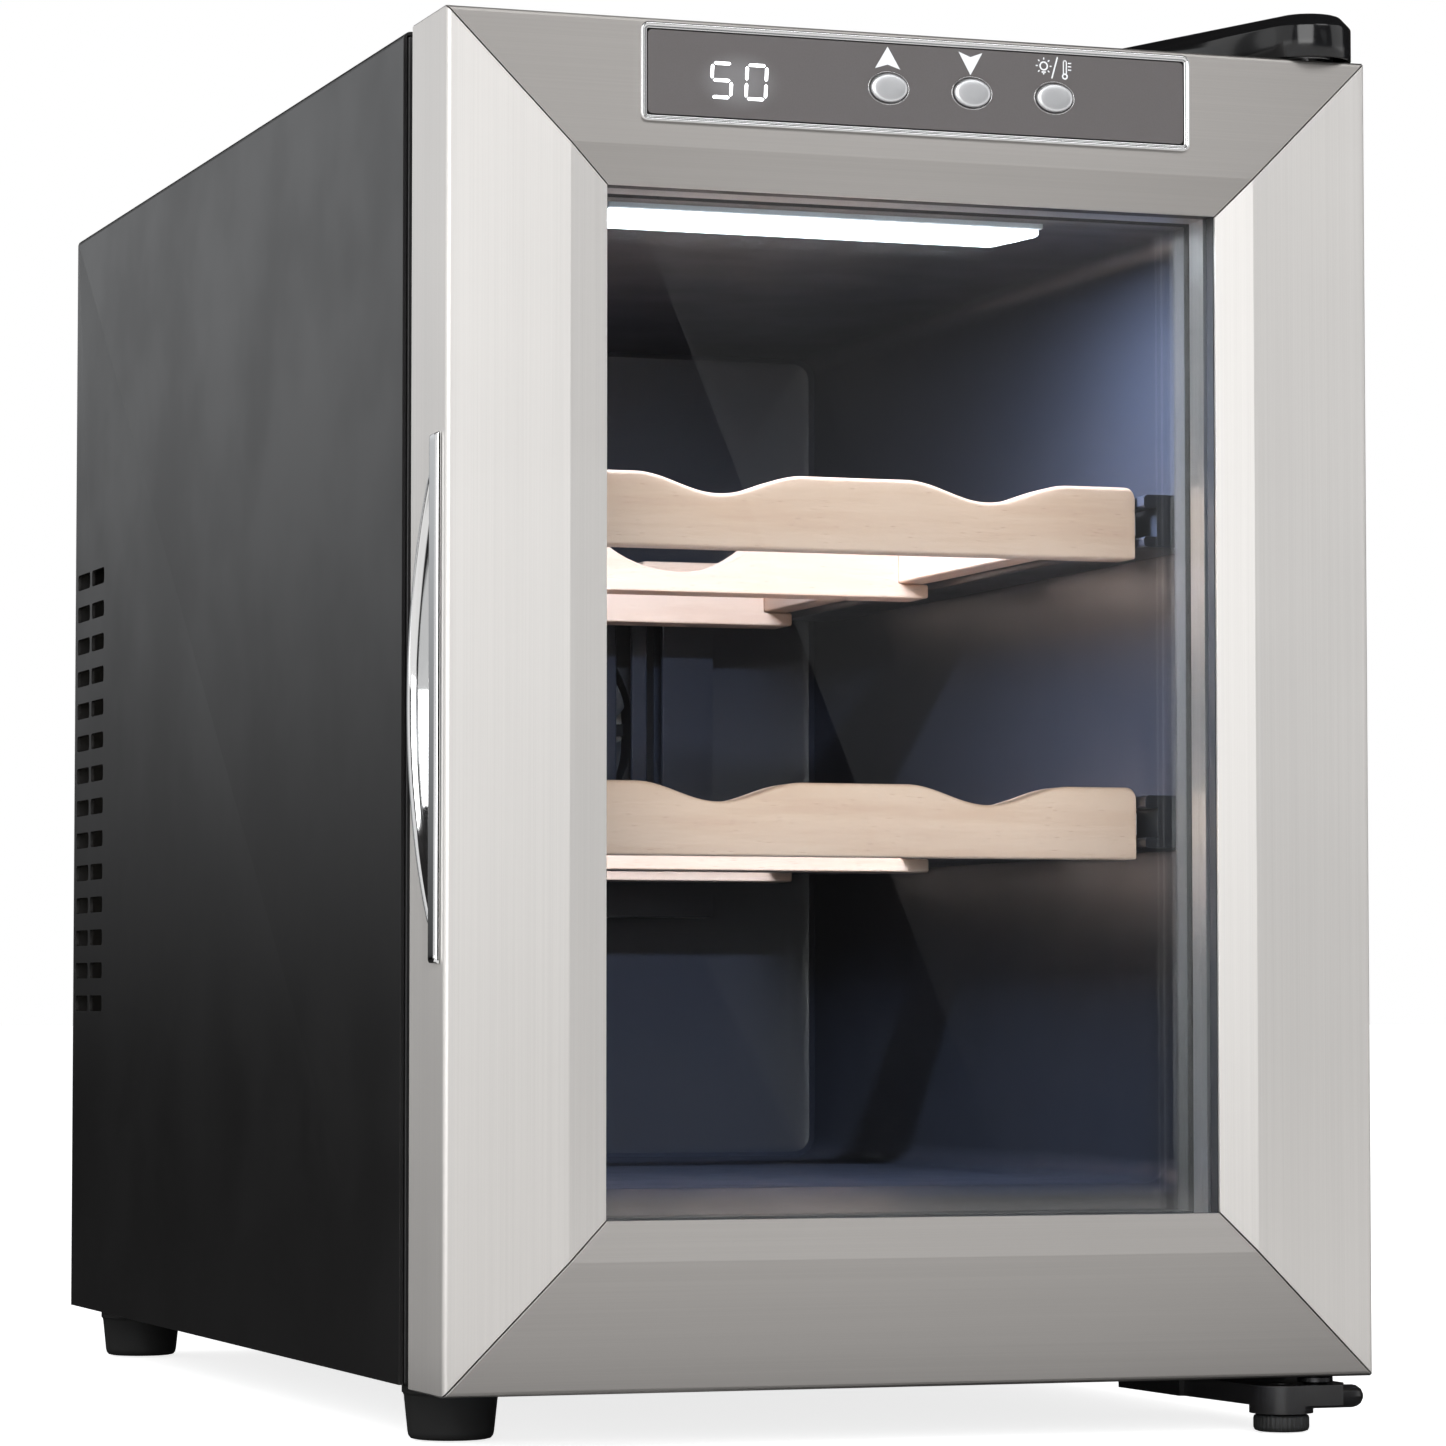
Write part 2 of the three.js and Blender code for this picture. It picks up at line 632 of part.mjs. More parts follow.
// A flat arm under the cabinet and the door, with a boss for the levelling foot, the hinge pin's
// seat and a short finger at the right end.
function bottomBracket() {
  const { under, rear, left, right } = BOTTOM_ARM;
  const rearLeft = WIDTH / 2 - left;
  const edge = WIDTH / 2 - right;
  const fore = LEVELLER.boss - BOTTOM_ARM.tuck;
  const plan = polygon([
    [rearLeft, rear],
    [LEVELLER_AT.x - fore, LEVELLER_AT.y],
    [LEVELLER_AT.x, LEVELLER_AT.y - fore],
    [edge - LEVELLER.boss / 2, HINGE.y - LEVELLER.boss],
    [edge, HINGE.y],
    [edge, rear],
  ]);
  const padFront = CABINET_FRONT + BOTTOM_ARM.padFront;
  const pad = polygon([
    [rearLeft, rear],
    [rearLeft + BOTTOM_ARM.padSlant, padFront],
    [edge, padFront],
    [edge, rear],
  ]);
  const finger = new THREE.CapsuleGeometry(FINGER.radius, FINGER.length, 4, 12);
  const fingerX = WIDTH / 2 - FINGER.reach - FINGER.radius - FINGER.length / 2;
  finger.rotateZ(Math.PI / 2).translate(fingerX, FINGER.back, FINGER.height);
  return cut(
    join(
      alongZ(plan, under, ARM_TOP),
      alongZ(pad, under, CABINET_BOTTOM - GAP),
      post(LEVELLER.boss, LEVELLER.height + GAP, ARM_TOP, LEVELLER_AT.x, LEVELLER_AT.y, 32),
      solid(finger),
    ),
    post(LEVELLER.stud + GAP, 0, ARM_TOP + THROUGH, LEVELLER_AT.x, LEVELLER_AT.y),
    post(PIN_RADIUS + GAP, 0, ARM_TOP + THROUGH, HINGE.x, HINGE.y),
  );
}

function bottomPin() {
  const seat = ARM_TOP + GAP;
  const collarTop = DOOR.z0 - GAP;
  const profile = [
    [0, BOTTOM_ARM.under],
    [PIN_RADIUS, BOTTOM_ARM.under],
    [PIN_RADIUS, seat],
    [PIN_COLLAR, seat],
    [PIN_COLLAR, collarTop],
    [PIN_RADIUS, collarTop],
    [PIN_RADIUS, DOOR.z0 + PIN_REACH],
    [0, DOOR.z0 + PIN_REACH],
  ];
  return turned(profile, HINGE.x, HINGE.y);
}

function levellingFoot() {
  const profile = [
    [0, 0],
    [LEVELLER.radius, 0],
    [LEVELLER.radius, LEVELLER.height],
    [LEVELLER.stud, LEVELLER.height],
    [LEVELLER.stud, ARM_TOP - GAP],
    [0, ARM_TOP - GAP],
  ];
  return turned(profile, LEVELLER_AT.x, LEVELLER_AT.y, 32);
}

function buildHinges() {
  piece("top_hinge_cover", topCover(), "blackPlastic");
  piece("top_hinge_bracket", topBracket(), "steel");
  piece("top_hinge_pin", topPin(), "steel");
  piece("bottom_hinge_bracket", bottomBracket(), "blackPaint");
  piece("bottom_hinge_pin", bottomPin(), "steel");
  piece("levelling_foot", levellingFoot(), "rubber");
}

// ---------------------------------------------------------------- door

// Half of the frame's section, as [in from the outer edge, back from the face].
function skinSection() {
  const slope = BEVEL_DROP / (FRAME_WIDTH - FRAME_FLAT);
  const outer = [[0, DOOR_DEPTH]];
  const arcSteps = 3;
  for (let i = 0; i <= arcSteps; i++) {
    const turn = (i / arcSteps) * (Math.PI / 2);
    outer.push([SKIN_CORNER * (1 - Math.cos(turn)), SKIN_CORNER * (1 - Math.sin(turn))]);
  }
  return [
    ...outer,
    [FRAME_FLAT, 0],
    [FRAME_WIDTH, BEVEL_DROP],
    [FRAME_WIDTH, BEVEL_DROP + SKIN],
    [FRAME_FLAT, SKIN + slope],
    [SKIN, SKIN + slope],
    [SKIN, DOOR_DEPTH],
  ];
}

// The face is split along its corners' diagonals into the four mitred members.
function mitreRegion(side) {
  const { x0, x1, z0, z1 } = DOOR;
  const f = FRAME_WIDTH + THROUGH;
  const m = MITRE;
  const out = THROUGH;
  const corners = {
    left: [
      [x0 - out, z0 - out + m],
      [x0 - out, z1 + out - m],
      [x0 + f, z1 - f - m],
      [x0 + f, z0 + f + m],
    ],
    right: [
      [x1 + out, z0 - out + m],
      [x1 + out, z1 + out - m],
      [x1 - f, z1 - f - m],
      [x1 - f, z0 + f + m],
    ],
    top: [
      [x0 - out + m, z1 + out],
      [x1 + out - m, z1 + out],
      [x1 - f - m, z1 - f],
      [x0 + f + m, z1 - f],
    ],
    bottom: [
      [x0 - out + m, z0 - out],
      [x1 + out - m, z0 - out],
      [x1 - f - m, z0 + f],
      [x0 + f + m, z0 + f],
    ],
  };
  return alongY(polygon(corners[side]), -THROUGH, DOOR_DEPTH + THROUGH);
}

function skin(side) {
  const section = skinSection();
  const { x0, x1, z0, z1 } = DOOR;
  const strips = {
    left: () => alongZ(polygon(section.map(([u, v]) => [x0 + u, v])), z0, z1),
    right: () => alongZ(polygon(section.map(([u, v]) => [x1 - u, v])), z0, z1),
    top: () => alongX(polygon(section.map(([u, v]) => [v, z1 - u])), x0, x1),
    bottom: () => alongX(polygon(section.map(([u, v]) => [v, z0 + u])), x0, x1),
  };
  return strips[side]().intersect(mitreRegion(side));
}

const PULL_Z = (DOOR.z0 + DOOR.z1) / 2;

// The cup's outline on the door's edge: straight at the front and bowed at the rear.
function pullOutline(margin) {
  const half = PULL.length / 2;
  const radius = (half ** 2 + PULL.bulge ** 2) / (2 * PULL.bulge);
  const centre = PULL.front + PULL.bulge - radius;
  const grown = radius + margin;
  const straight = PULL.front - margin;
  const angle = Math.acos((straight - centre) / grown);
  const shape = new THREE.Shape();
  shape.absarc(centre, PULL_Z, grown, -angle, angle);
  return shape;
}

// The pull's seat in the pieces behind it.
function pullSeat(margin) {
  const side = DOOR.x0;
  const outside = side - PULL_STRIP.proud - THROUGH;
  return alongX(pullOutline(margin), outside, side + PULL.depth + PULL.wall + margin, 16);
}

function doorCore() {
  const { x0, x1, z0, z1 } = inset(DOOR, SKIN + GAP);
  const slope = BEVEL_DROP / (FRAME_WIDTH - FRAME_FLAT);
  const front = SKIN + slope + GAP;
  const rear = DOOR_DEPTH - INNER_FRAME - GAP;
  const flatEdge = inset(DOOR, FRAME_FLAT);
  const rebate = inset(WINDOW, -GLASS_LAP - GAP);
  const pocket = inset(panelRect(), CONTROL_POCKET.margin);
  const bore = PIN_RADIUS + PIN_CLEARANCE;
  return cut(
    box(rect(x0, x1, z0, z1), front, rear),
    box(WINDOW, 0, DOOR_DEPTH),
    tapered(flatEdge, front, WINDOW, front + BEVEL_DROP),
    box(rebate, GLASS_SET_BACK - GAP, DOOR_DEPTH),
    box(pocket, 0, CONTROL_POCKET.depth),
    pullSeat(GAP),
    post(bore, DOOR.z1 - PIN_REACH - THROUGH, DOOR.z1, HINGE.x, HINGE.y),
    post(bore, DOOR.z0, DOOR.z0 + PIN_REACH + THROUGH, HINGE.x, HINGE.y),
  );
}

function doorInnerFrame() {
  const outer = inset(DOOR, SKIN + GAP);
  const rebate = inset(WINDOW, -GLASS_LAP);
  const packRear = GLASS_SET_BACK + OUTER_GLASS + SPACER.depth + INNER_GLASS + 3 * GAP;
  return cut(
    join(
      ring(outer, WINDOW, DOOR_DEPTH - INNER_FRAME, DOOR_DEPTH),
      ring(rebate, WINDOW, packRear, DOOR_DEPTH),
    ),
    pullSeat(GAP),
  );
}

function gasket() {
  const outer = inset(DOOR, GASKET.inset);
  const front = DOOR_DEPTH + GAP;
  const rear = CABINET_FRONT - GAP;
  const lip = (GASKET.base - GASKET.lip) / 2;
  return join(
    ring(outer, inset(outer, GASKET.base), front, front + GASKET.foot),
    ring(inset(outer, lip), inset(outer, lip + GASKET.lip), front, rear),
  );
}

function handle() {
  const side = DOOR.x0;
  const flangeBack = side - GAP;
  const outside = side - PULL_STRIP.proud - THROUGH;
  const half = PULL_STRIP.length / 2;
  const strip = rect(PULL_STRIP.front, PULL_STRIP.back, PULL_Z - half, PULL_Z + half);
  const cup = alongX(pullOutline(0), flangeBack - LAP, side + PULL.depth + PULL.wall, 16);
  const hollow = alongX(pullOutline(-PULL.wall), outside, side + PULL.depth, 16);
  return cut(
    join(
      alongX(rounded(strip, PULL_STRIP.corner), flangeBack - PULL_STRIP.proud, flangeBack, 2),
      alongX(pullOutline(PULL.rim), flangeBack - PULL.proud, flangeBack, 16),
      cup,
    ),
    hollow,
  );
}

function buildDoor() {
  const pane = inset(WINDOW, -GLASS_LAP);
  const outerRear = GLASS_SET_BACK + OUTER_GLASS;
  const innerFront = outerRear + SPACER.depth + 2 * GAP;
  const pinHole = (z) => {
    const reach = SKIN + THROUGH;
    return post(PIN_RADIUS + GAP, z - reach, z + reach, HINGE.x, HINGE.y);
  };
  piece("door_core", doorCore(), "blackPlastic");
  piece("door_inner_frame", doorInnerFrame(), "blackPlastic");
  piece("door_skin_left", cut(skin("left"), pullSeat(GAP)), "stainless");
  piece("door_skin_right", skin("right"), "stainless");
  piece("door_skin_top", cut(skin("top"), panelCutout(), pinHole(DOOR.z1)), "stainless");
  piece("door_skin_bottom", cut(skin("bottom"), pinHole(DOOR.z0)), "stainless");
  piece("outer_glass", box(pane, GLASS_SET_BACK, outerRear), "smokedGlass");
  const spacer = ring(pane, inset(pane, SPACER.width), outerRear + GAP, innerFront - GAP);
  piece("glass_spacer", spacer, "aluminium");
  piece("inner_glass", box(pane, innerFront, innerFront + INNER_GLASS), "clearGlass");
  piece("door_gasket", gasket(), "rubber");
  piece("handle_cup", handle(), "chrome");
}

// ---------------------------------------------------------------- controls

function panelRect() {
  const top = DOOR.z1 - PANEL.fromTop;
  return rect(-PANEL.width / 2, PANEL.width / 2, top - PANEL.height, top);
}

function panelCutout() {
  const hole = rounded(inset(panelRect(), GAP), PANEL.radius);
  return alongY(hole, -THROUGH, SKIN + THROUGH, 4);
}

function displayBezel() {
  const outer = panelRect();
  const skirt = PANEL.rim - PANEL_SKIRT;
  const opening = rounded(inset(outer, PANEL.rim), PANEL_HOLE_RADIUS);
  const collar = rounded(inset(outer, skirt), PANEL.radius - skirt / 2);
  return cut(
    join(
      alongY(rounded(outer, PANEL.radius), -PANEL.proud, -GAP, 4),
      alongY(collar, -PANEL.proud / 2, PANEL_FACE_BACK, 4),
    ),
    alongY(opening, -PANEL.proud - THROUGH, PANEL_FACE_BACK + THROUGH, 4),
  );
}

function ellipse(x, z, width, height) {
  const shape = new THREE.Shape();
  shape.absellipse(x, z, width / 2, height / 2, 0, 2 * Math.PI);
  return shape;
}

function buttonX(index) {
  return BUTTON.centre + (index - 1) * BUTTON.pitch;
}

function controlsZ() {
  return (panelRect().z0 + panelRect().z1) / 2 - BUTTON.drop;
}

function displayFace() {
  const face = rounded(inset(panelRect(), PANEL.rim + GAP), PANEL_HOLE_RADIUS);
  const holes = [0, 1, 2].map((i) => {
    const hole = ellipse(buttonX(i), controlsZ(), BUTTON.width + 2 * GAP, BUTTON.height + 2 * GAP);
    return alongY(hole, -PANEL.proud - THROUGH, PANEL_FACE_BACK + THROUGH, 8);
  });
  return cut(alongY(face, -PANEL.proud / 2, PANEL_FACE_BACK, 4), ...holes);
}

// A domed oval cap with a flange behind the face and a stem towards the switch.
function button(index) {
  const radius = BUTTON.height / 2;
  const rim = radius + BUTTON_FLANGE.out;
  const stem = radius * BUTTON_STEM;
  const flangeFront = PANEL_FACE_BACK + BUTTON_FLANGE.behind;
  const flangeBack = flangeFront + BUTTON_FLANGE.thickness;
  const stemEnd = CONTROL_BOARD_FRONT - BUTTON_TRAVEL - GAP;
  const profile = [
    ...BUTTON_DOME.map(([share, depth]) => [share * radius, depth - BUTTON.proud]),
    [radius, flangeFront],
    [rim, flangeFront],
    [rim, flangeBack],
    [stem, flangeBack],
    [stem, stemEnd],
    [0, stemEnd],
  ];
  const round = profile.map(([r, depth]) => new THREE.Vector2(r, depth));
  const cap = new THREE.LatheGeometry(round, 24);
  cap.scale(BUTTON.width / BUTTON.height, 1, 1).translate(buttonX(index), 0, controlsZ());
  return solid(cap);
}

function buildControls() {
  const board = inset(panelRect(), CONTROL_POCKET.margin + GAP);
  const digitsX = panelRect().x0 + DIGITS.inset;
  const digits = centred(digitsX, controlsZ(), DIGITS.width, DIGITS.height);
  const digitsRear = CONTROL_BOARD_FRONT - GAP;
  piece("display_bezel", displayBezel(), "chrome");
  piece("display_face", displayFace(), "panelGrey");
  piece("digit_module", box(digits, digitsRear - DIGITS.depth, digitsRear), "whitePlastic");
  piece("control_board", box(board, CONTROL_BOARD_FRONT, CONTROL_BOARD_FRONT + BOARD), "circuitGreen");
  for (const [i, word] of ["up", "down", "light"].entries()) {
    piece(`button_${word}`, button(i), "satinChrome");
  }
}

// ---------------------------------------------------------------- shelves

// A bar across the shelf, dipped where each bottle lies.
function bar(level, half, y0, y1, dip, tenon) {
  const top = level + SHELF.height;
  const radius = BOTTLE.radius;
  const reach = Math.sqrt(2 * radius * dip - dip ** 2);
  const count = Math.max(1, Math.floor((2 * (half - tenon)) / BOTTLE.pitch));
  const shape = new THREE.Shape();
  shape.moveTo(-half, level);
  shape.lineTo(half, level);
  if (tenon > 0) {
    shape.lineTo(half, level + SLAT.railLift - GAP);
    shape.lineTo(half - tenon, level + SLAT.railLift - GAP);
  }
  shape.lineTo(half - tenon, top);
  for (let i = count - 1; i >= 0; i--) {
    const x = (i - (count - 1) / 2) * BOTTLE.pitch;
    const angle = Math.asin(reach / radius);
    shape.lineTo(x + reach, top);
    shape.absarc(x, top - dip + radius, radius, -Math.PI / 2 + angle, -Math.PI / 2 - angle, true);
  }
  shape.lineTo(-half + tenon, top);
  if (tenon > 0) {
    shape.lineTo(-half + tenon, level + SLAT.railLift - GAP);
    shape.lineTo(-half, level + SLAT.railLift - GAP);
  }
  return alongY(shape, y0, y1, 10);
}

// A rectangle between two distances from the middle, on the left (-1) or the right (1).
function beside(side, near, far, z0, z1) {
  return rect(Math.min(side * near, side * far), Math.max(side * near, side * far), z0, z1);
}

function buildShelf(name, level) {
  const railOuter = SHELF_HALF - SLAT.railInset;
  const railInner = railOuter - SLAT.railWidth;
  const frontBarRear = SHELF.front + SHELF.bar;
  const railFront = frontBarRear + GAP;
  const rearBar = SHELF_REAR - SLAT.depth;
  const midBar = (frontBarRear + SHELF_REAR) / 2;
  const deep = SHELF.height - BOTTLE.under;
  const tenon = SLAT.railWidth + GAP;
  const railBottom = level + SLAT.railLift;
  const railTop = railBottom + SLAT.railHeight;
  const glideBottom = level + GLIDE.lift;
  const glideTop = glideBottom + GLIDE.height;
  const slat = (y0) => bar(level, railOuter, y0, y0 + SLAT.depth, deep, tenon);
  const front = bar(level, SHELF_HALF, SHELF.front, frontBarRear, BOTTLE.neckDip, 0);
  piece(`${name}_front_bar`, front, "beech");
  piece(`${name}_mid_bar`, slat(midBar), "beech");
  piece(`${name}_rear_bar`, slat(rearBar), "beech");
  for (const [word, side] of [
    ["left", -1],
    ["right", 1],
  ]) {
    const rail = beside(side, railInner, railOuter, railBottom, railTop);
    const glide = beside(side, railOuter + GAP, SHELF_HALF + GLIDE.proud, glideBottom, glideTop);
    piece(`${name}_rail_${word}`, box(rail, railFront, SHELF_REAR), "beech");
    piece(`${name}_glide_${word}`, box(glide, railFront, SHELF_REAR), "whitePlastic");
  }
}

// ---------------------------------------------------------------- lamp

// The lamp's outline drawn in by a margin, narrower at the rear, between two heights.
function lampSlice(margin, z0, z1) {
  const x0 = LAMP.middle - LAMP.length / 2 + margin;
  const x1 = LAMP.middle + LAMP.length / 2 - margin;
  const front = LAMP.front + margin;
  const rear = LAMP.front + LAMP.depth - margin;
  const outline = polygon([
    [x0, front],
    [x1, front],
    [x1 - LAMP.slope, rear],
    [x0 + LAMP.slope, rear],
  ]);
  return alongZ(outline, z0, z1);
}

// The room that the lamp takes in the liner's ceiling and in the insulation above it.
function lampPocket() {
  return lampSlice(-GAP, LINER.z1 - THROUGH, LINER.z1 + LAMP.sunk + GAP);
}

function buildLamp() {
  const top = LINER.z1 + LAMP.sunk;
  const bottom = top - LAMP.height;
  const boardBottom = bottom + LAMP.boardLift;
  const middle = LAMP.front + LAMP.depth / 2;
  const pitch = (LAMP.length - 4 * LAMP.slope) / LED.count;
  const leds = Array.from({ length: LED.count }, (_, i) => {
    const x = LAMP.middle + (i - (LED.count - 1) / 2) * pitch;
    const area = rect(x - LED.size / 2, x + LED.size / 2, boardBottom - LED.height, boardBottom + LAP);
    return box(area, middle - LED.size / 2, middle + LED.size / 2);
  });
  const hollow = lampSlice(LAMP.wall, bottom - THROUGH, top - LAMP.wall);
  const board = lampSlice(LAMP.wall + GAP, boardBottom, boardBottom + BOARD);
  const lens = lampSlice(LAMP.lensInset, bottom - GAP - LAMP.lens, bottom - GAP);
  piece("lamp_housing", cut(lampSlice(0, bottom, top), hollow), "whitePlastic");
  piece("lamp_board", join(board, ...leds), "circuitGreen");
  piece("lamp_lens", lens, "clearGlass");
}

// ---------------------------------------------------------------- cooling

// A finned block: a base plate with fins along Z, pointing forwards (-1) or backwards (1).
function sink(spec, baseFront, direction) {
  const base = centred(0, COOLING_Z, 2 * spec.half, 2 * spec.half);
  const pitch = (2 * spec.half - spec.finThick) / (spec.fins - 1);
  const parts = [box(base, baseFront, baseFront + spec.base)];
  for (let i = 0; i < spec.fins; i++) {
    const x = -spec.half + spec.finThick / 2 + i * pitch;
    const fin = centred(x, COOLING_Z, spec.finThick, 2 * spec.half);
    parts.push(
      direction > 0
        ? box(fin, baseFront + spec.base - LAP, baseFront + spec.base + spec.finLength)
        : box(fin, baseFront - spec.finLength, baseFront + LAP),
    );
  }
  return join(...parts);
}

function fanFrame(spec, front) {
  const rear = front + spec.depth;
  const spokeFront = rear - spec.spoke;
  const body = cut(
    box(centred(0, COOLING_Z, spec.size, spec.size), front, rear),
    drum(spec.bore, front - THROUGH, rear + THROUGH, 0, COOLING_Z, 40),
  );
  const reach = 2 * (spec.bore + THROUGH);
  return join(
    body,
    drum(spec.hub, spokeFront, rear, 0, COOLING_Z),
    box(centred(0, COOLING_Z, reach, SPOKE_WIDTH), spokeFront, rear),
    box(centred(0, COOLING_Z, SPOKE_WIDTH, reach), spokeFront, rear),
  );
}

function fanRotor(spec, front) {
  const y0 = front + ROTOR_SETBACK;
  const y1 = front + spec.depth - spec.spoke - 2 * GAP;
  const outer = spec.bore - BLADE.clearance;
  const inner = spec.hub - LAP;
  const sweep = drum(outer, y0, y1, 0, COOLING_Z, 40);
  const blades = Array.from({ length: spec.blades }, (_, i) => {
    const reach = outer - inner + THROUGH;
    const geometry = new THREE.BoxGeometry(reach, BLADE.thickness, spec.depth * BLADE.chord);
    geometry.translate(inner + reach / 2, 0, 0);
    geometry.rotateX(BLADE.pitch);
    geometry.rotateY((i / spec.blades) * 2 * Math.PI);
    geometry.translate(0, (y0 + y1) / 2, COOLING_Z);
    return solid(geometry).intersect(sweep);
  });
  return join(drum(spec.hub, y0, y1, 0, COOLING_Z), ...blades);
}

function coldCover() {
  const outer = centred(0, COOLING_Z, 2 * COLD_COVER_HALF, 2 * COLD_COVER_HALF);
  const front = COLD_COVER_FRONT;
  const rear = front + COLD_COVER.depth;
  const wallRear = front + COLD_COVER.wall;
  const slots = [];
  for (let i = 0; i < COLD_COVER.slots; i++) {
    const x = (i - (COLD_COVER.slots - 1) / 2) * COLD_COVER.slotPitch;
    const slot = centred(x, COOLING_Z, COLD_COVER.slotWidth, COLD_FAN.size);
    slots.push(box(slot, front - THROUGH, wallRear + THROUGH));
  }
  const hollow = box(inset(outer, COLD_COVER.wall), wallRear, rear + THROUGH);
  return cut(box(outer, front, rear), hollow, ...slots);
}

function powerBoard() {
  const x0 = -WIDTH / 2 + POWER_BOARD.left;
  const z0 = CABINET_BOTTOM + POWER_BOARD.up;
  const front = DEPTH - POWER_BOARD.back;
  const rear = front + BOARD;
  const blocks = BOARD_BLOCKS.map(([left, bottom, width, height, depth]) => {
    const area = rect(x0 + left, x0 + left + width, z0 + bottom, z0 + bottom + height);
    return box(area, rear - LAP, rear + depth);
  });
  const cans = CAPACITORS.map(([left, bottom, radius, depth]) =>
    drum(radius, rear - LAP, rear + depth, x0 + left, z0 + bottom, 16),
  );
  const plate = rect(x0, x0 + POWER_BOARD.width, z0, z0 + POWER_BOARD.height);
  return join(box(plate, front, rear), ...blocks, ...cans);
}

function powerInlet() {
  const body = centred(INLET_AT.x, INLET_AT.z, INLET.width, INLET.height);
  const socket = centred(INLET_AT.x, INLET_AT.z, SOCKET.width, SOCKET.height);
  const seat = DEPTH + GAP;
  const face = seat + INLET.plate;
  const flange = alongY(rounded(inset(body, -INLET.flange), INLET.corner), seat, face, 3);
  return cut(
    join(box(body, DEPTH - INLET.depth, seat + LAP), flange),
    box(socket, face - SOCKET.depth, face + THROUGH),
  );
}

function buildCooling() {
  const pedestal = centred(0, COOLING_Z, 2 * PELTIER.half, 2 * PELTIER.half);
  const coldBase = COLD_SINK_FRONT + COLD_SINK.finLength;
  const coldSink = join(
    sink(COLD_SINK, coldBase, -1),
    box(pedestal, COLD_BASE_REAR - LAP, COLD_BASE_REAR + COLD_SINK.pedestal),
  );
  piece("cold_fan_cover", coldCover(), "blackPlastic");
  piece("cold_fan_frame", fanFrame(COLD_FAN, COLD_FAN_FRONT), "blackPlastic");
  piece("cold_fan_rotor", fanRotor(COLD_FAN, COLD_FAN_FRONT), "blackPlastic");
  piece("cold_heatsink", coldSink, "aluminium");
  piece("peltier_module", box(pedestal, PELTIER_FRONT, PELTIER_FRONT + PELTIER.thickness), "ceramic");
  piece("hot_heatsink", sink(HOT_SINK, HOT_SINK_FRONT, 1), "aluminium");
  piece("hot_fan_frame", fanFrame(HOT_FAN, HOT_FAN_FRONT), "blackPlastic");
  piece("hot_fan_rotor", fanRotor(HOT_FAN, HOT_FAN_FRONT), "blackPlastic");
  piece("power_board", powerBoard(), "circuitGreen");
  piece("power_inlet", powerInlet(), "blackPlastic");
}

// ---------------------------------------------------------------- the whole cooler

buildCabinet();
buildHinges();
buildDoor();
buildControls();
SHELF_LEVELS.forEach((level, i) => buildShelf(["lower_shelf", "upper_shelf"][i], level));
buildLamp();
buildCooling();

// The footprint runs from the top hinge's knuckle to the inlet's plate, and from the handle's
// strip to the right side.
const foremost = Math.min(HINGE_Y - COVER.radius, LEVELLER.back - LEVELLER.boss);
const rearmost = DEPTH + GAP + INLET.plate;
root.position.set((PULL_STRIP.proud + GAP) / 2, -(foremost + rearmost) / 2, 0);

export default root;
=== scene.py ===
"""The looks of a six-bottle countertop wine cooler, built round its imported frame.

Shapes are worked out in millimetres with X to the right from the cabinet's middle, Y to the back
from the door's face and Z up from the floor. Datum turns them into the frame's metres.
"""

import json
import logging
import math
from dataclasses import dataclass
from enum import Enum

import bmesh
import bpy
import numpy as np
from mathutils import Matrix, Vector

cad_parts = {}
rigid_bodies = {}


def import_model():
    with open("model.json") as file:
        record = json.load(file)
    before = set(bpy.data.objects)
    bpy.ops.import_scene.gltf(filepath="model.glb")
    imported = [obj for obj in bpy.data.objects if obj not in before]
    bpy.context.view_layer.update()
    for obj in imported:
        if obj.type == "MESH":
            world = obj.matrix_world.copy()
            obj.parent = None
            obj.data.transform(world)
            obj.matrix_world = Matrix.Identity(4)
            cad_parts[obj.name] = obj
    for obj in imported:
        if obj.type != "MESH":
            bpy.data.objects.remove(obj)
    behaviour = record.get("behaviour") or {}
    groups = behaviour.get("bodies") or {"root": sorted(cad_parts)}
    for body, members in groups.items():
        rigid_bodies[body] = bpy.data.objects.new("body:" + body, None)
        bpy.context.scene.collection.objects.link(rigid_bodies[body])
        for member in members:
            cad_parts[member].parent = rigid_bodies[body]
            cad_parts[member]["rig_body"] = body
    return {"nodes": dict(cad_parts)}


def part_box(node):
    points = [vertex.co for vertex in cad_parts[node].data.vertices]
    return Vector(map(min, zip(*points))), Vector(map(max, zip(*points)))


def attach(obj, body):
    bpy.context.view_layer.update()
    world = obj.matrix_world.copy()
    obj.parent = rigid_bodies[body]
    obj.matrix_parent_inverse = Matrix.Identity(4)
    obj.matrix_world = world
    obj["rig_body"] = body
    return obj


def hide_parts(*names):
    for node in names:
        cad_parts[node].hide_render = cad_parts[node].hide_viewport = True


LOG = logging.getLogger("wine_cooler")
MM = 0.001
LEAST_CORNER = 0.3

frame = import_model()


# ---------------------------------------------------------------- places and meshes


@dataclass
class Datum:
    """Where the cabinet's middle and the door's face lie in the frame, in metres."""

    middle: float
    face: float

    @classmethod
    def of_frame(cls) -> "Datum":
        """Reads the middle from the cabinet's shell and the face from the door's left skin."""
        low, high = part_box("cabinet_shell")
        return cls((low.x + high.x) / 2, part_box("door_skin_left")[0].y)

    def metres(self, points: np.ndarray) -> np.ndarray:
        """Points in millimetres as points of the frame in metres."""
        return points * MM + np.array([self.middle, self.face, 0.0])

    def span(self, node: str) -> np.ndarray:
        """A CAD node's lowest and highest corners in millimetres, as two rows."""
        corners = np.array([list(corner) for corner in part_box(node)])
        return (corners - np.array([self.middle, self.face, 0.0])) / MM


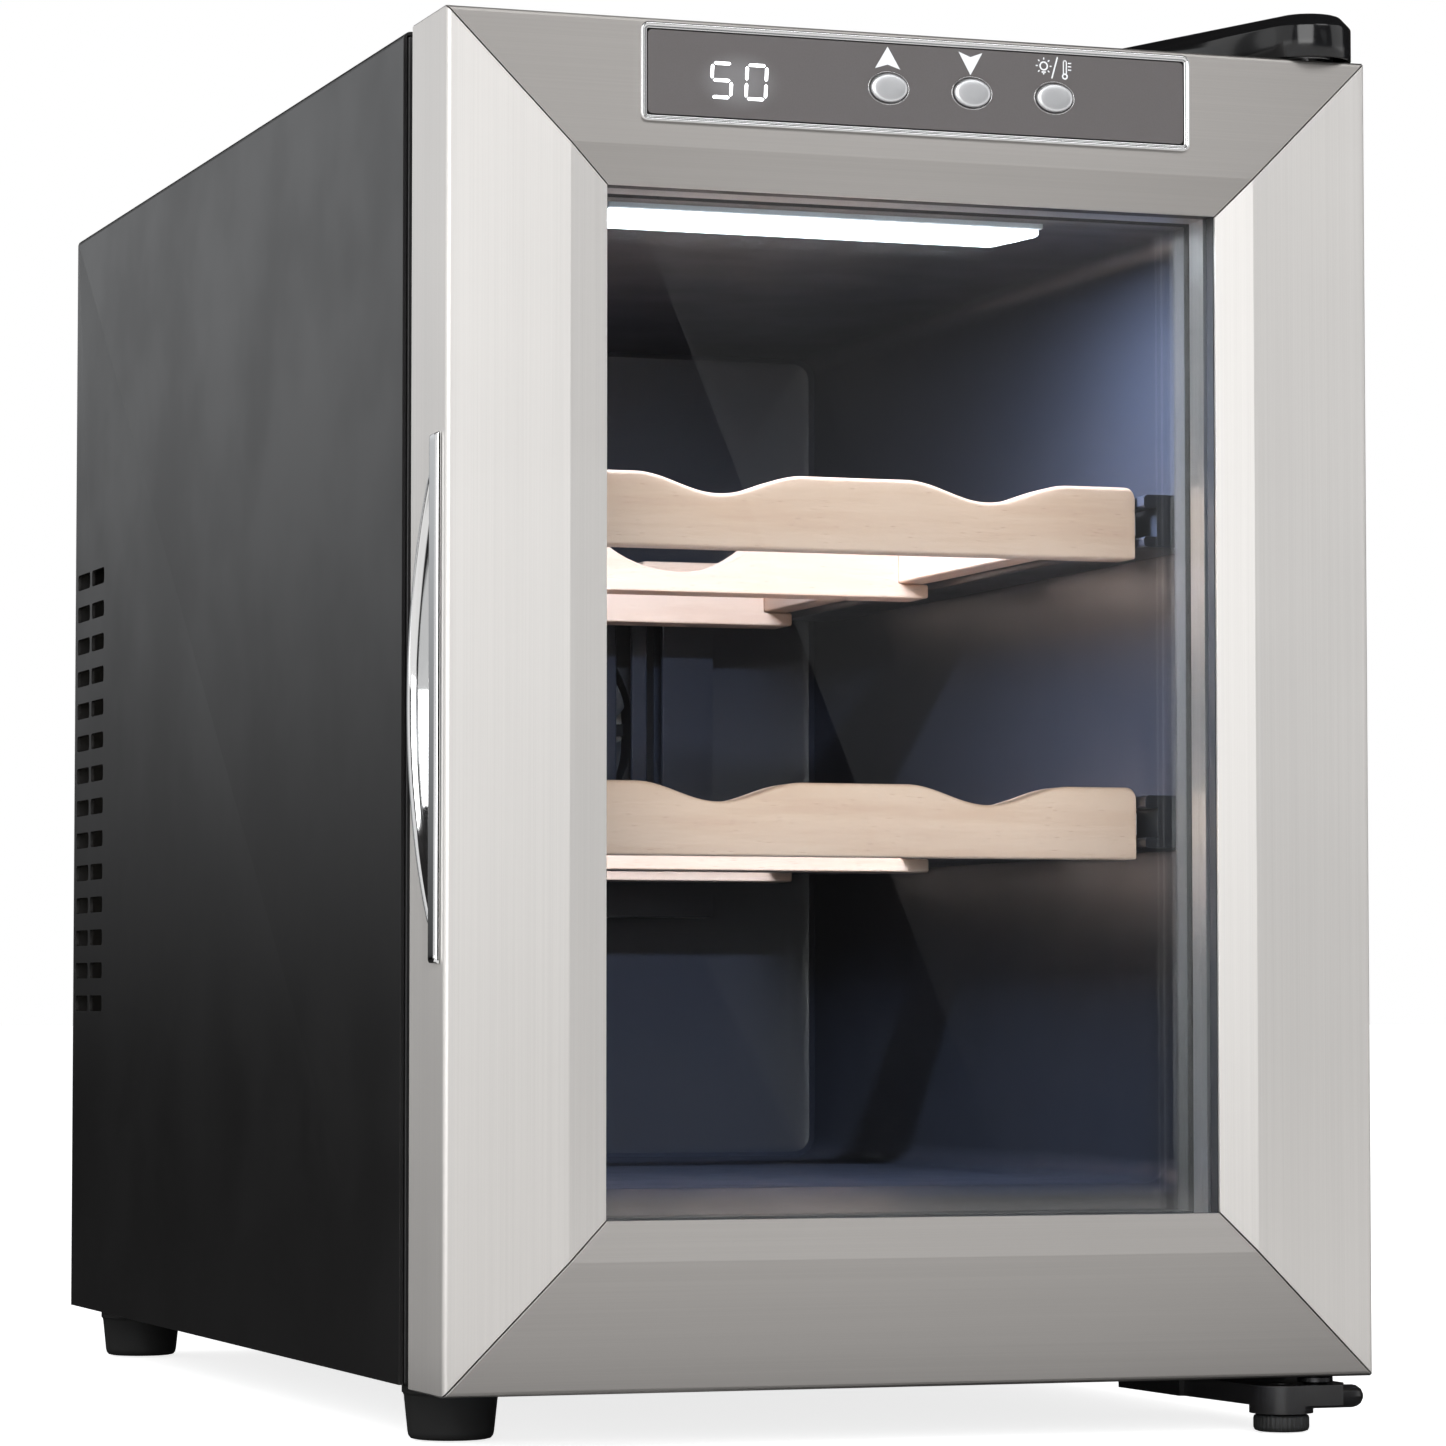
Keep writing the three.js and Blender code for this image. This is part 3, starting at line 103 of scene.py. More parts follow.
@dataclass
class Shape:
    """A mesh in millimetres: its points, its four-sided faces and its flat end faces."""

    points: np.ndarray
    quads: np.ndarray
    caps: list[list[int]]

    @classmethod
    def grid(
        cls,
        points: np.ndarray,
        loop_rows: bool = False,
        loop_cols: bool = False,
        capped: bool = False,
    ) -> "Shape":
        """Joins the points of a grid: cell (i, j) has corners (i, j), (i, j+1), (i+1, j+1), (i+1, j).

        Args:
            points: Array of rows by columns by 3.
            loop_rows: Whether the last row joins the first.
            loop_cols: Whether the last column joins the first.
            capped: Whether flat faces close the first and the last row.

        Returns:
            The joined shape.
        """
        rows, cols = points.shape[:2]
        i = np.arange(rows if loop_rows else rows - 1)
        j = np.arange(cols if loop_cols else cols - 1)
        i, j = np.meshgrid(i, j, indexing="ij")
        below, beside = (i + 1) % rows, (j + 1) % cols
        corners = [i * cols + j, i * cols + beside, below * cols + beside, below * cols + j]
        quads = np.stack(corners, -1).reshape(-1, 4)
        ends = [list(range(cols)), list(range((rows - 1) * cols, rows * cols))]
        return cls(points.reshape(-1, 3), quads, ends if capped else [])

    @classmethod
    def joined(cls, shapes: list["Shape"]) -> "Shape":
        """Several shapes as one, each keeping its own points."""
        points, quads, caps, start = [], [], [], 0
        for shape in shapes:
            points.append(shape.points)
            quads.append(shape.quads + start)
            caps += [[corner + start for corner in cap] for cap in shape.caps]
            start += len(shape.points)
        return cls(np.concatenate(points), np.concatenate(quads), caps)


def blended(low: float, high: float, value: np.ndarray) -> np.ndarray:
    """A smooth step: 0 below low, 1 above high, and 3t^2 - 2t^3 between them."""
    t = np.clip((value - low) / (high - low), 0, 1)
    return t * t * (3 - 2 * t)


def rounded_rect(x0: float, x1: float, z0: float, z1: float, radius: float, steps: int) -> np.ndarray:
    """Points round a rectangle whose four corners are quarter circles of the given radius."""
    turn = np.linspace(0, math.pi / 2, steps + 1)
    quarter = np.arange(4)[:, None] * math.pi / 2 + turn[None, :]
    middle_x = np.array([x1 - radius, x0 + radius, x0 + radius, x1 - radius])[:, None]
    middle_z = np.array([z1 - radius, z1 - radius, z0 + radius, z0 + radius])[:, None]
    outline = [middle_x + radius * np.cos(quarter), middle_z + radius * np.sin(quarter)]
    return np.stack(outline, -1).reshape(-1, 2)


def at_depth(outline: np.ndarray, y: float) -> np.ndarray:
    """An outline of (x, z) points set at one depth."""
    return np.stack([outline[:, 0], np.full(len(outline), y), outline[:, 1]], -1)


def frame_sweep(
    area: tuple[float, float, float, float], radius: float, profile: np.ndarray, steps: int
) -> Shape:
    """Carries a closed profile round a rectangle with rounded corners.

    Each profile point (in, depth) becomes the whole rectangle drawn in by that much, with its
    corner radius less by the same, down to LEAST_CORNER, at that depth.

    Args:
        area: Left, right, bottom and top of the rectangle.
        radius: Its corner radius.
        profile: Array of (in, depth) points, the last of which joins the first.
        steps: Steps round each corner.

    Returns:
        The swept shape.
    """
    x0, x1, z0, z1 = area
    rows = []
    for inward, depth in profile:
        corner = max(radius - inward, LEAST_CORNER)
        outline = rounded_rect(x0 + inward, x1 - inward, z0 + inward, z1 - inward, corner, steps)
        rows.append(at_depth(outline, depth))
    return Shape.grid(np.array(rows), loop_rows=True, loop_cols=True)


def upright_outlines(outlines: list[np.ndarray], levels: list[float]) -> Shape:
    """Stacks outlines of (x, y) points with equal counts at the given heights."""
    rows = [
        np.concatenate([outline, np.full((len(outline), 1), level)], 1)
        for outline, level in zip(outlines, levels)
    ]
    return Shape.grid(np.array(rows), loop_cols=True, capped=True)


def plate(outline: np.ndarray, y0: float, y1: float) -> Shape:
    """Pushes an outline of (x, z) points out from depth y0 to y1, with flat end faces."""
    rows = np.array([at_depth(outline, y) for y in (y0, y1)])
    return Shape.grid(rows, loop_cols=True, capped=True)


def lathe(
    profile: list[tuple[float, float]],
    centre: tuple[float, float],
    segments: int = 48,
    along_y: bool = False,
    flutes: int = 0,
    flute_depth: float = 0.0,
) -> Shape:
    """Turns a profile of (radius, height) points about an upright axis, or one along Y.

    Radius r becomes r - flute_depth * (1 + cos(flutes * angle)) / 2 where flutes are asked for
    and r is over nine tenths of the largest radius.

    Args:
        profile: The profile from one end of the axis to the other, starting and ending at 0.
        centre: (x, y) of an upright axis, or (x, z) of one along Y.
        segments: Steps round the axis.
        along_y: Whether the axis runs along Y.
        flutes: Number of grooves round the rim.
        flute_depth: Their depth.

    Returns:
        The turned shape, with its two poles closed.
    """
    section = np.array(profile, float)
    angle = np.linspace(0, 2 * math.pi, segments, endpoint=False)
    radius = np.repeat(section[:, :1], segments, 1)
    rim = radius > 0.9 * section[:, 0].max()
    radius = radius - rim * flute_depth * (1 + np.cos(flutes * angle))[None, :] / 2
    height = np.repeat(section[:, 1:], segments, 1)
    u = centre[0] + radius * np.cos(angle)
    v = centre[1] + radius * np.sin(angle)
    points = np.stack([u, height, v] if along_y else [u, v, height], -1)
    return Shape.grid(points, loop_cols=True)


def arc(
    radius: float, start: float, end: float, steps: int, u: float = 0.0, v: float = 0.0
) -> np.ndarray:
    """Points on a circle about (u, v) from one angle to another, in degrees."""
    angle = np.radians(np.linspace(start, end, steps + 1))
    return np.stack([u + radius * np.cos(angle), v + radius * np.sin(angle)], -1)


def stroke(start: tuple[float, float], end: tuple[float, float], width: float) -> np.ndarray:
    """A straight stroke with pointed ends as six points: a bar whose ends taper over half its width."""
    a, b = np.array(start, float), np.array(end, float)
    along = (b - a) / np.linalg.norm(b - a) * width / 2
    side = np.array([-along[1], along[0]])
    return np.array([a, a + along + side, b - along + side, b, b - along - side, a + along - side])


@dataclass
class Workshop:
    """Turns shapes and CAD nodes into dressed pieces that ride on the frame's bodies."""

    datum: Datum

    def piece(
        self,
        name: str,
        shape: Shape,
        body: str,
        finish: "Finish",
        replaces: tuple[str, ...] = (),
        crease: float = 35.0,
        thickness: float = 0.0,
    ) -> bpy.types.Object:
        """Makes a new piece.

        Args:
            name: The piece's name.
            shape: Its shape in millimetres.
            body: The body that it rides on.
            finish: Its finish.
            replaces: CAD nodes that it stands for.
            crease: Edges sharper than this many degrees stay sharp.
            thickness: Wall in millimetres put on an open surface, against its normals, or 0.

        Returns:
            The new object.
        """
        mesh = bpy.data.meshes.new(name)
        points = self.datum.metres(shape.points)
        faces = [*map(tuple, shape.quads.tolist()), *map(tuple, shape.caps)]
        mesh.from_pydata(points, [], faces)
        self._close(mesh)
        obj = bpy.data.objects.new(name, mesh)
        return self._finished(obj, body, finish, replaces, crease, thickness=thickness)

    def softened(
        self,
        node: str,
        finish: "Finish",
        bevel: float = 0.3,
        segments: int = 2,
        crease: float = 32.0,
    ) -> bpy.types.Object:
        """Copies a CAD node, joins its loose triangles and rounds its sharp edges.

        Args:
            node: The CAD node, which the copy replaces.
            finish: The copy's finish.
            bevel: Width of the rounding in millimetres.
            segments: Steps across the rounding.
            crease: Edges sharper than this many degrees are rounded.

        Returns:
            The new object.
        """
        source = frame["nodes"][node]
        mesh = source.data.copy()
        mesh.name = node + "_soft"
        mesh.materials.clear()
        work = bmesh.new()
        work.from_mesh(mesh)
        bmesh.ops.remove_doubles(work, verts=work.verts, dist=2e-6)
        bmesh.ops.dissolve_limit(
            work, angle_limit=math.radians(0.6), verts=work.verts, edges=work.edges
        )
        work.to_mesh(mesh)
        work.free()
        obj = bpy.data.objects.new(node + "_soft", mesh)
        body = source["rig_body"]
        return self._finished(obj, body, finish, (node,), crease, bevel, segments)

    def dress(self, finish: "Finish", *nodes: str) -> None:
        """Gives CAD nodes that stay as they are a finish."""
        for node in nodes:
            mesh = frame["nodes"][node].data
            mesh.materials.clear()
            mesh.materials.append(finish.material())
            LOG.info("dressed %s as %s", node, finish.label())

    def _close(self, mesh: bpy.types.Mesh) -> None:
        """Merges doubled points, so that seams and poles close, and turns the faces outwards."""
        work = bmesh.new()
        work.from_mesh(mesh)
        bmesh.ops.remove_doubles(work, verts=work.verts, dist=1e-6)
        bmesh.ops.recalc_face_normals(work, faces=work.faces)
        work.to_mesh(mesh)
        work.free()

    def _finished(
        self,
        obj: bpy.types.Object,
        body: str,
        finish: "Finish",
        replaces: tuple[str, ...],
        crease: float,
        bevel: float = 0.0,
        segments: int = 2,
        thickness: float = 0.0,
    ) -> bpy.types.Object:
        """Rounds, shades, dresses and seats an object, with its modifiers applied."""
        bpy.context.scene.collection.objects.link(obj)
        angle = math.radians(crease)
        obj.data.shade_smooth()
        obj.data.set_sharp_from_angle(angle=angle)
        if thickness:
            wall = obj.modifiers.new("wall", "SOLIDIFY")
            wall.thickness, wall.offset = thickness * MM, -1
        if bevel:
            soft = obj.modifiers.new("soft", "BEVEL")
            soft.width, soft.segments = bevel * MM, segments
            soft.limit_method, soft.angle_limit = "ANGLE", angle
            soft.harden_normals = True
        if obj.modifiers:
            graph = bpy.context.evaluated_depsgraph_get()
            made = bpy.data.meshes.new_from_object(obj.evaluated_get(graph))
            obj.modifiers.clear()
            obj.data = made
        obj.data.materials.clear()
        obj.data.materials.append(finish.material())
        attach(obj, body)
        if replaces:
            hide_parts(*replaces)
        LOG.info("made %s, %d faces, on %s", obj.name, len(obj.data.polygons), body)
        return obj


# ---------------------------------------------------------------- shader wiring


class Wiring:
    """Adds nodes to one node tree and joins them."""

    def __init__(self, tree: bpy.types.NodeTree) -> None:
        """Keeps the tree that the nodes go into."""
        self.tree = tree

    def add(self, kind: str, inputs: dict | None = None, **settings) -> bpy.types.Node:
        """Adds a node.

        Args:
            kind: The node's type, without the word ShaderNode.
            inputs: Values or sockets for its inputs, by name or index.
            **settings: Its properties.

        Returns:
            The new node.
        """
        node = self.tree.nodes.new("ShaderNode" + kind)
        for name, value in settings.items():
            setattr(node, name, value)
        for key, value in (inputs or {}).items():
            if isinstance(value, bpy.types.NodeSocket):
                self.tree.links.new(value, node.inputs[key])
            else:
                node.inputs[key].default_value = value
        return node

    def math(self, operation: str, a, b=0.0, clamp: bool = False) -> bpy.types.NodeSocket:
        """The result of one Math node."""
        return self.add("Math", {0: a, 1: b}, operation=operation, use_clamp=clamp).outputs[0]

    def between(
        self, value, low: float, high: float, to_low: float, to_high: float
    ) -> bpy.types.NodeSocket:
        """A value carried smoothly from one range to another, and held at its ends."""
        inputs = {"Value": value, "From Min": low, "From Max": high}
        inputs |= {"To Min": to_low, "To Max": to_high}
        return self.add("MapRange", inputs, interpolation_type="SMOOTHSTEP").outputs[0]

    def mixed(self, factor, a, b) -> bpy.types.NodeSocket:
        """Two colours mixed by a factor."""
        return self.add("Mix", {0: factor, 6: a, 7: b}, data_type="RGBA").outputs[2]

    def over(self, mask, share: float, base, colour: "Colour") -> bpy.types.NodeSocket:
        """A base with a share of a colour laid over it where the mask is 1."""
        return self.mixed(self.math("MULTIPLY", mask, share), base, opaque(colour))

    def object_place(self) -> bpy.types.NodeSocket:
        """The object's own coordinates."""
        return self.add("TexCoord").outputs["Object"]

    def noise(
        self, place, scale: float, detail: float = 3.0, rough: float = 0.55
    ) -> bpy.types.NodeSocket:
        """The value of a noise texture."""
        inputs = {"Vector": place, "Scale": scale, "Detail": detail, "Roughness": rough}
        return self.add("TexNoise", inputs).outputs[0]

    def stretched(self, place, scale) -> bpy.types.NodeSocket:
        """Coordinates multiplied by a vector, which stretches a pattern along its small axes."""
        return self.add("VectorMath", {0: place, 1: scale}, operation="MULTIPLY").outputs[0]

    def bump(self, height, distance: float, strength: float = 1.0) -> bpy.types.NodeSocket:
        """The normal of a bumped surface, its distance in metres."""
        inputs = {"Height": height, "Distance": distance, "Strength": strength}
        return self.add("Bump", inputs).outputs[0]

    def placed(self, group: bpy.types.NodeTree, inputs: dict) -> bpy.types.Node:
        """Places a node group with its own values."""
        return self.add("Group", inputs, node_tree=group)


def group_tree(
    name: str, inputs: dict[str, str], outputs: dict[str, str]
) -> tuple[bpy.types.NodeTree, Wiring, bpy.types.Node, bpy.types.Node]:
    """An empty node group with named sockets.

    Args:
        name: The group's name.
        inputs: Socket type for each input's name: Float, Vector or Color.
        outputs: The same for the outputs.

    Returns:
        The tree, its Wiring, its input node and its output node.
    """
    tree = bpy.data.node_groups.new(name, "ShaderNodeTree")
    for direction, sockets in (("INPUT", inputs), ("OUTPUT", outputs)):
        for label, kind in sockets.items():
            tree.interface.new_socket(label, in_out=direction, socket_type="NodeSocket" + kind)
    return tree, Wiring(tree), tree.nodes.new("NodeGroupInput"), tree.nodes.new("NodeGroupOutput")


def brushed_group() -> bpy.types.NodeTree:
    """Brushed grain: noise stretched along the brush, in a fine and a coarse layer.

    Returns:
        The group, with inputs Place and Stretch and outputs Tone and Height.
    """
    known = bpy.data.node_groups.get("brushed_grain")
    if known:
        return known
    sockets = {"Place": "Vector", "Stretch": "Vector"}
    tree, w, given, out = group_tree("brushed_grain", sockets, {"Tone": "Float", "Height": "Float"})
    place = w.stretched(given.outputs["Place"], given.outputs["Stretch"])
    fine = w.noise(place, 1.0, 2.0, 0.6)
    coarse = w.noise(place, 0.22, 2.0, 0.5)
    tone = w.math("ADD", w.math("MULTIPLY", fine, 0.65), w.math("MULTIPLY", coarse, 0.35))
    w.tree.links.new(tone, out.inputs["Tone"])
    w.tree.links.new(fine, out.inputs["Height"])
    return tree


def texture_group() -> bpy.types.NodeTree:
    """Moulded or sprayed texture: noise over rounded cells.

    Returns:
        The group, with inputs Place and Scale and outputs Tone and Height.
    """
    known = bpy.data.node_groups.get("surface_texture")
    if known:
        return known
    sockets = {"Place": "Vector", "Scale": "Float"}
    tree, w, given, out = group_tree("surface_texture", sockets, {"Tone": "Float", "Height": "Float"})
    place, scale = given.outputs["Place"], given.outputs["Scale"]
    inputs = {"Vector": place, "Scale": scale}
    cells = w.add("TexVoronoi", inputs, feature="SMOOTH_F1").outputs["Distance"]
    grain = w.noise(place, scale, 2.0)
    slow = w.noise(place, w.math("MULTIPLY", scale, 0.02), 3.0)
    height = w.math("ADD", w.math("MULTIPLY", cells, 0.6), w.math("MULTIPLY", grain, 0.4))
    w.tree.links.new(slow, out.inputs["Tone"])
    w.tree.links.new(height, out.inputs["Height"])
    return tree


def wear_group() -> bpy.types.NodeTree:
    """Edge wear: how far a rounded normal leans from the true one, broken up by noise.

    Returns:
        The group, with inputs Place and Radius and output Mask.
    """
    known = bpy.data.node_groups.get("edge_wear")
    if known:
        return known
    sockets = {"Place": "Vector", "Radius": "Float"}
    tree, w, given, out = group_tree("edge_wear", sockets, {"Mask": "Float"})
    rounded = w.add("Bevel", {"Radius": given.outputs["Radius"]}, samples=4).outputs[0]
    true = w.add("NewGeometry").outputs["Normal"]
    lean = w.add("VectorMath", {0: rounded, 1: true}, operation="DOT_PRODUCT").outputs["Value"]
    edge = w.between(lean, 0.72, 0.98, 1.0, 0.0)
    broken = w.between(w.noise(given.outputs["Place"], 350.0, 4.0), 0.4, 0.62, 0.25, 1.0)
    w.tree.links.new(w.math("MULTIPLY", edge, broken, True), out.inputs["Mask"])
    return tree


def dust_group() -> bpy.types.NodeTree:
    """Dust: noise that settles only where the surface faces up.

    Returns:
        The group, with input Place and output Mask.
    """
    known = bpy.data.node_groups.get("settled_dust")
    if known:
        return known
    tree, w, given, out = group_tree("settled_dust", {"Place": "Vector"}, {"Mask": "Float"})
    normal = w.add("NewGeometry").outputs["Normal"]
    up = w.add("SeparateXYZ", {0: normal}).outputs["Z"]
    lying = w.between(up, 0.4, 1.0, 0.0, 1.0)
    specks = w.between(w.noise(given.outputs["Place"], 700.0, 6.0, 0.7), 0.5, 0.75, 0.0, 1.0)
    w.tree.links.new(w.math("MULTIPLY", lying, specks, True), out.inputs["Mask"])
    return tree


# ---------------------------------------------------------------- finishes

Colour = tuple[float, float, float]
WHITE: Colour = (1.0, 1.0, 1.0)
DUST: Colour = (0.3, 0.29, 0.27)
RUBBED_PAINT: Colour = (0.06, 0.058, 0.056)
RUBBED_STEEL: Colour = (0.9, 0.89, 0.88)
SMUDGE: Colour = (0.6, 0.6, 0.6)
SPECK: Colour = (0.15, 0.14, 0.14)


def opaque(colour: Colour) -> tuple[float, float, float, float]:
    """A colour with full alpha, as a node's socket takes it."""
    return (*colour, 1.0)


class Brush(Enum):
    """Which way the metal was brushed: how its grain is stretched, and how its gloss is turned."""

    UPRIGHT = ((3800.0, 3800.0, 9.0), 0.0)
    LEVEL = ((9.0, 3800.0, 3800.0), 0.25)
    ROUND = ((900.0, 900.0, 900.0), 0.0)


class Grain(Enum):
    """Which way a length of timber runs: how its figure is stretched."""

    ACROSS = (1.0, 12.0, 12.0)
    DEEP = (12.0, 1.0, 12.0)


@dataclass(frozen=True)
class Finish:
    """A procedural material, built once for each set of values."""

    slot: str

    def label(self) -> str:
        """The material's name, made from the finish's class and values."""
        values = "_".join(str(value) for value in vars(self).values())
        kept = "".join(c if c.isalnum() else "_" for c in values)
        return (type(self).__name__ + "_" + kept)[:60]

    def material(self) -> bpy.types.Material:
        """The finish as a Blender material."""
        known = bpy.data.materials.get(self.label())
        if known:
            return known
        made = bpy.data.materials.new(self.label())
        made.use_nodes = True
        made.node_tree.nodes.clear()
        w = Wiring(made.node_tree)
        shader = w.add("BsdfPrincipled")
        surface = self.wire(w, shader) or shader.outputs[0]
        w.add("OutputMaterial", {"Surface": surface})
        return made

    def wire(self, w: Wiring, shader: bpy.types.Node) -> bpy.types.NodeSocket | None:
        """Sets the shader's sockets; returns another surface where the shader alone isn't it."""
        raise NotImplementedError

    def gloss(self, w: Wiring, tone, less: float, more: float) -> bpy.types.NodeSocket:
        """The finish's roughness, shifted by a tone between two amounts."""
        return w.between(tone, 0.3, 0.7, self.roughness + less, self.roughness + more)

    def set(self, w: Wiring, shader: bpy.types.Node, **values) -> None:
        """Sets sockets of the shader: underscores in a name stand for spaces."""
        for key, value in values.items():
            socket = shader.inputs[key.replace("_", " ")]
            if isinstance(value, bpy.types.NodeSocket):
                w.tree.links.new(value, socket)
            elif socket.type == "RGBA":
                socket.default_value = opaque(value)
            else:
                socket.default_value = value


@dataclass(frozen=True)
class BrushedSteel(Finish):
    """Stainless sheet with fine straight grain and a gloss drawn out across it."""

    brush: Brush = Brush.UPRIGHT
    colour: Colour = (0.745, 0.725, 0.705)
    roughness: float = 0.4
    pull: float = 0.88

    def wire(self, w: Wiring, shader: bpy.types.Node) -> None:
        """Grain varies the tone, roughness and normal; edges are a little brighter."""
        place = w.object_place()
        stretch, turn = self.brush.value
        grain = w.placed(brushed_group(), {"Place": place, "Stretch": stretch})
        worn = w.placed(wear_group(), {"Place": place, "Radius": 0.0006})
        tone = w.between(grain.outputs["Tone"], 0.3, 0.7, 0.965, 1.02)
        inputs = {0: 1.0, 6: opaque(self.colour), 7: tone}
        base = w.add("Mix", inputs, data_type="RGBA", blend_type="MULTIPLY").outputs[2]
        edge = w.math("MULTIPLY", worn.outputs["Mask"], 0.5)
        bright = w.mixed(edge, base, opaque(RUBBED_STEEL))
        smudge = w.between(w.noise(place, 14.0, 3.0), 0.35, 0.7, -0.006, 0.012)
        rough = self.gloss(w, grain.outputs["Tone"], -0.012, 0.012)
        self.set(
            w, shader, Base_Color=bright, Metallic=1.0, Roughness=w.math("ADD", rough, smudge),
            Anisotropic=self.pull, Anisotropic_Rotation=turn,
            Normal=w.bump(grain.outputs["Height"], 0.000004, 0.3),
            Tangent=w.add("Tangent", None, direction_type="RADIAL", axis="Z").outputs[0],
        )


@dataclass(frozen=True)
class Sprayed(Finish):
    """Satin paint on steel, with slight orange peel, worn edges and settled dust."""

    colour: Colour = (0.0085, 0.008, 0.0082)
    roughness: float = 0.33
    sheen: float = 0.5

    def wire(self, w: Wiring, shader: bpy.types.Node) -> None:
        """The peel bumps the surface, and slow noise shifts its gloss."""
        place = w.object_place()
        peel = w.placed(texture_group(), {"Place": place, "Scale": 850.0})
        worn = w.placed(wear_group(), {"Place": place, "Radius": 0.0005})
        dust = w.placed(dust_group(), {"Place": place})
        base = w.over(worn.outputs["Mask"], 0.35, opaque(self.colour), RUBBED_PAINT)
        base = w.over(dust.outputs["Mask"], 0.05, base, DUST)
        rough = self.gloss(w, peel.outputs["Tone"], -0.025, 0.035)
        self.set(
            w, shader, Base_Color=base, Roughness=rough, Specular_IOR_Level=self.sheen,
            Normal=w.bump(peel.outputs["Height"], 0.000012, 0.35),
        )


@dataclass(frozen=True)
class Moulded(Finish):
    """Injection-moulded plastic: a fine spark texture with slow changes of gloss."""

    colour: Colour = (0.012, 0.0115, 0.012)
    roughness: float = 0.42
    texture: float = 1600.0
    depth: float = 0.00002

    def wire(self, w: Wiring, shader: bpy.types.Node) -> None:
        """The texture bumps the surface; edges are rubbed a little lighter."""
        place = w.object_place()
        spark = w.placed(texture_group(), {"Place": place, "Scale": self.texture})
        worn = w.placed(wear_group(), {"Place": place, "Radius": 0.0005})
        lighter = tuple(0.7 * c + 0.05 for c in self.colour)
        base = w.over(worn.outputs["Mask"], 0.3, opaque(self.colour), lighter)
        rough = self.gloss(w, spark.outputs["Tone"], -0.04, 0.05)
        self.set(
            w, shader, Base_Color=base, Roughness=rough,
            Normal=w.bump(spark.outputs["Height"], self.depth, 0.4),
        )


@dataclass(frozen=True)
class Plated(Finish):
    """Bright or satin chrome: mirror metal with faint waves and handling marks."""

    colour: Colour = (0.86, 0.865, 0.87)
    roughness: float = 0.05

    def wire(self, w: Wiring, shader: bpy.types.Node) -> None:
        """Slow noise bends the mirror a little, and smudges raise its roughness."""
        place = w.object_place()
        waves = w.noise(place, 60.0, 1.0)
        smudge = w.between(w.noise(place, 90.0, 5.0, 0.65), 0.5, 0.75, 0.0, 0.05)
        self.set(
            w, shader, Base_Color=w.mixed(smudge, opaque(self.colour), opaque(SMUDGE)),
            Metallic=1.0, Roughness=w.math("ADD", smudge, self.roughness),
            Normal=w.bump(waves, 0.00003, 0.12),
        )


@dataclass(frozen=True)
class Metal(Finish):
    """Plain mill-finished or turned metal with light scratches."""

    colour: Colour = (0.58, 0.585, 0.59)
    roughness: float = 0.38
    brush: Brush = Brush.UPRIGHT

    def wire(self, w: Wiring, shader: bpy.types.Node) -> None:
        """Drawn-out grain gives tone and bump, and the dust dulls what faces up."""
        place = w.object_place()
        grain = w.placed(brushed_group(), {"Place": place, "Stretch": self.brush.value[0]})
        dust = w.placed(dust_group(), {"Place": place})
        dull = tuple(0.8 * c for c in self.colour)
        base = w.mixed(grain.outputs["Tone"], opaque(self.colour), opaque(dull))
        base = w.over(dust.outputs["Mask"], 0.15, base, DUST)
        rough = self.gloss(w, grain.outputs["Tone"], -0.06, 0.08)
        self.set(
            w, shader, Base_Color=base, Metallic=1.0, Roughness=rough,
            Normal=w.bump(grain.outputs["Height"], 0.00001, 0.5),
        )


@dataclass(frozen=True)
class Beech(Finish):
    """Planed beech: pale pinkish tan with long bands and the short dark flecks of its rays."""

    grain: Grain = Grain.ACROSS
    pale: Colour = (0.80, 0.575, 0.435)
    deep: Colour = (0.62, 0.385, 0.26)
    fleck: Colour = (0.30, 0.14, 0.075)

    def wire(self, w: Wiring, shader: bpy.types.Node) -> None:
        """Bands are long stretched noise, pores are finer, and flecks are short stretched cells."""
        place = w.stretched(w.object_place(), self.grain.value)
        bands = w.between(w.noise(place, 16.0, 4.0, 0.6), 0.32, 0.72, 0.0, 1.0)
        pores = w.noise(place, 110.0, 3.0, 0.7)
        cells = w.add("TexVoronoi", {"Vector": place, "Scale": 150.0, "Randomness": 1.0})
        near = w.between(cells.outputs["Distance"], 0.05, 0.16, 1.0, 0.0)
        chosen = w.between(cells.outputs["Color"], 0.5, 0.62, 0.0, 1.0)
        flecks = w.math("MULTIPLY", near, chosen)
        base = w.over(bands, 0.5, opaque(self.pale), self.deep)
        base = w.over(pores, 0.3, base, self.deep)
        base = w.over(flecks, 0.85, base, self.fleck)
        height = w.math("SUBTRACT", w.math("MULTIPLY", pores, 0.5), flecks)
        self.set(
            w, shader, Base_Color=base, Roughness=w.between(pores, 0.3, 0.7, 0.48, 0.62),
            Normal=w.bump(height, 0.00006, 0.35),
        )


@dataclass(frozen=True)
class Glazing(Finish):
    """A clear or smoked pane: it bends and reflects light, and lets it through as shadow rays."""

    tint: Colour = (0.9, 0.92, 0.92)

    def wire(self, w: Wiring, shader: bpy.types.Node) -> bpy.types.NodeSocket:
        """Faint wipe marks vary the roughness; light passes straight through the pane, tinted."""
        wipe = w.between(w.noise(w.object_place(), 25.0, 5.0, 0.7), 0.5, 0.8, 0.0, 0.03)
        self.set(w, shader, Base_Color=self.tint, Roughness=wipe, IOR=1.5, Transmission_Weight=1.0)
        path = w.add("LightPath")
        lit = w.math("MAXIMUM", path.outputs["Is Shadow Ray"], path.outputs["Is Diffuse Ray"])
        straight = w.add("BsdfTransparent", {"Color": opaque(self.tint)})
        mix = w.add("MixShader", {0: lit, 1: shader.outputs[0], 2: straight.outputs[0]})
        return mix.outputs[0]


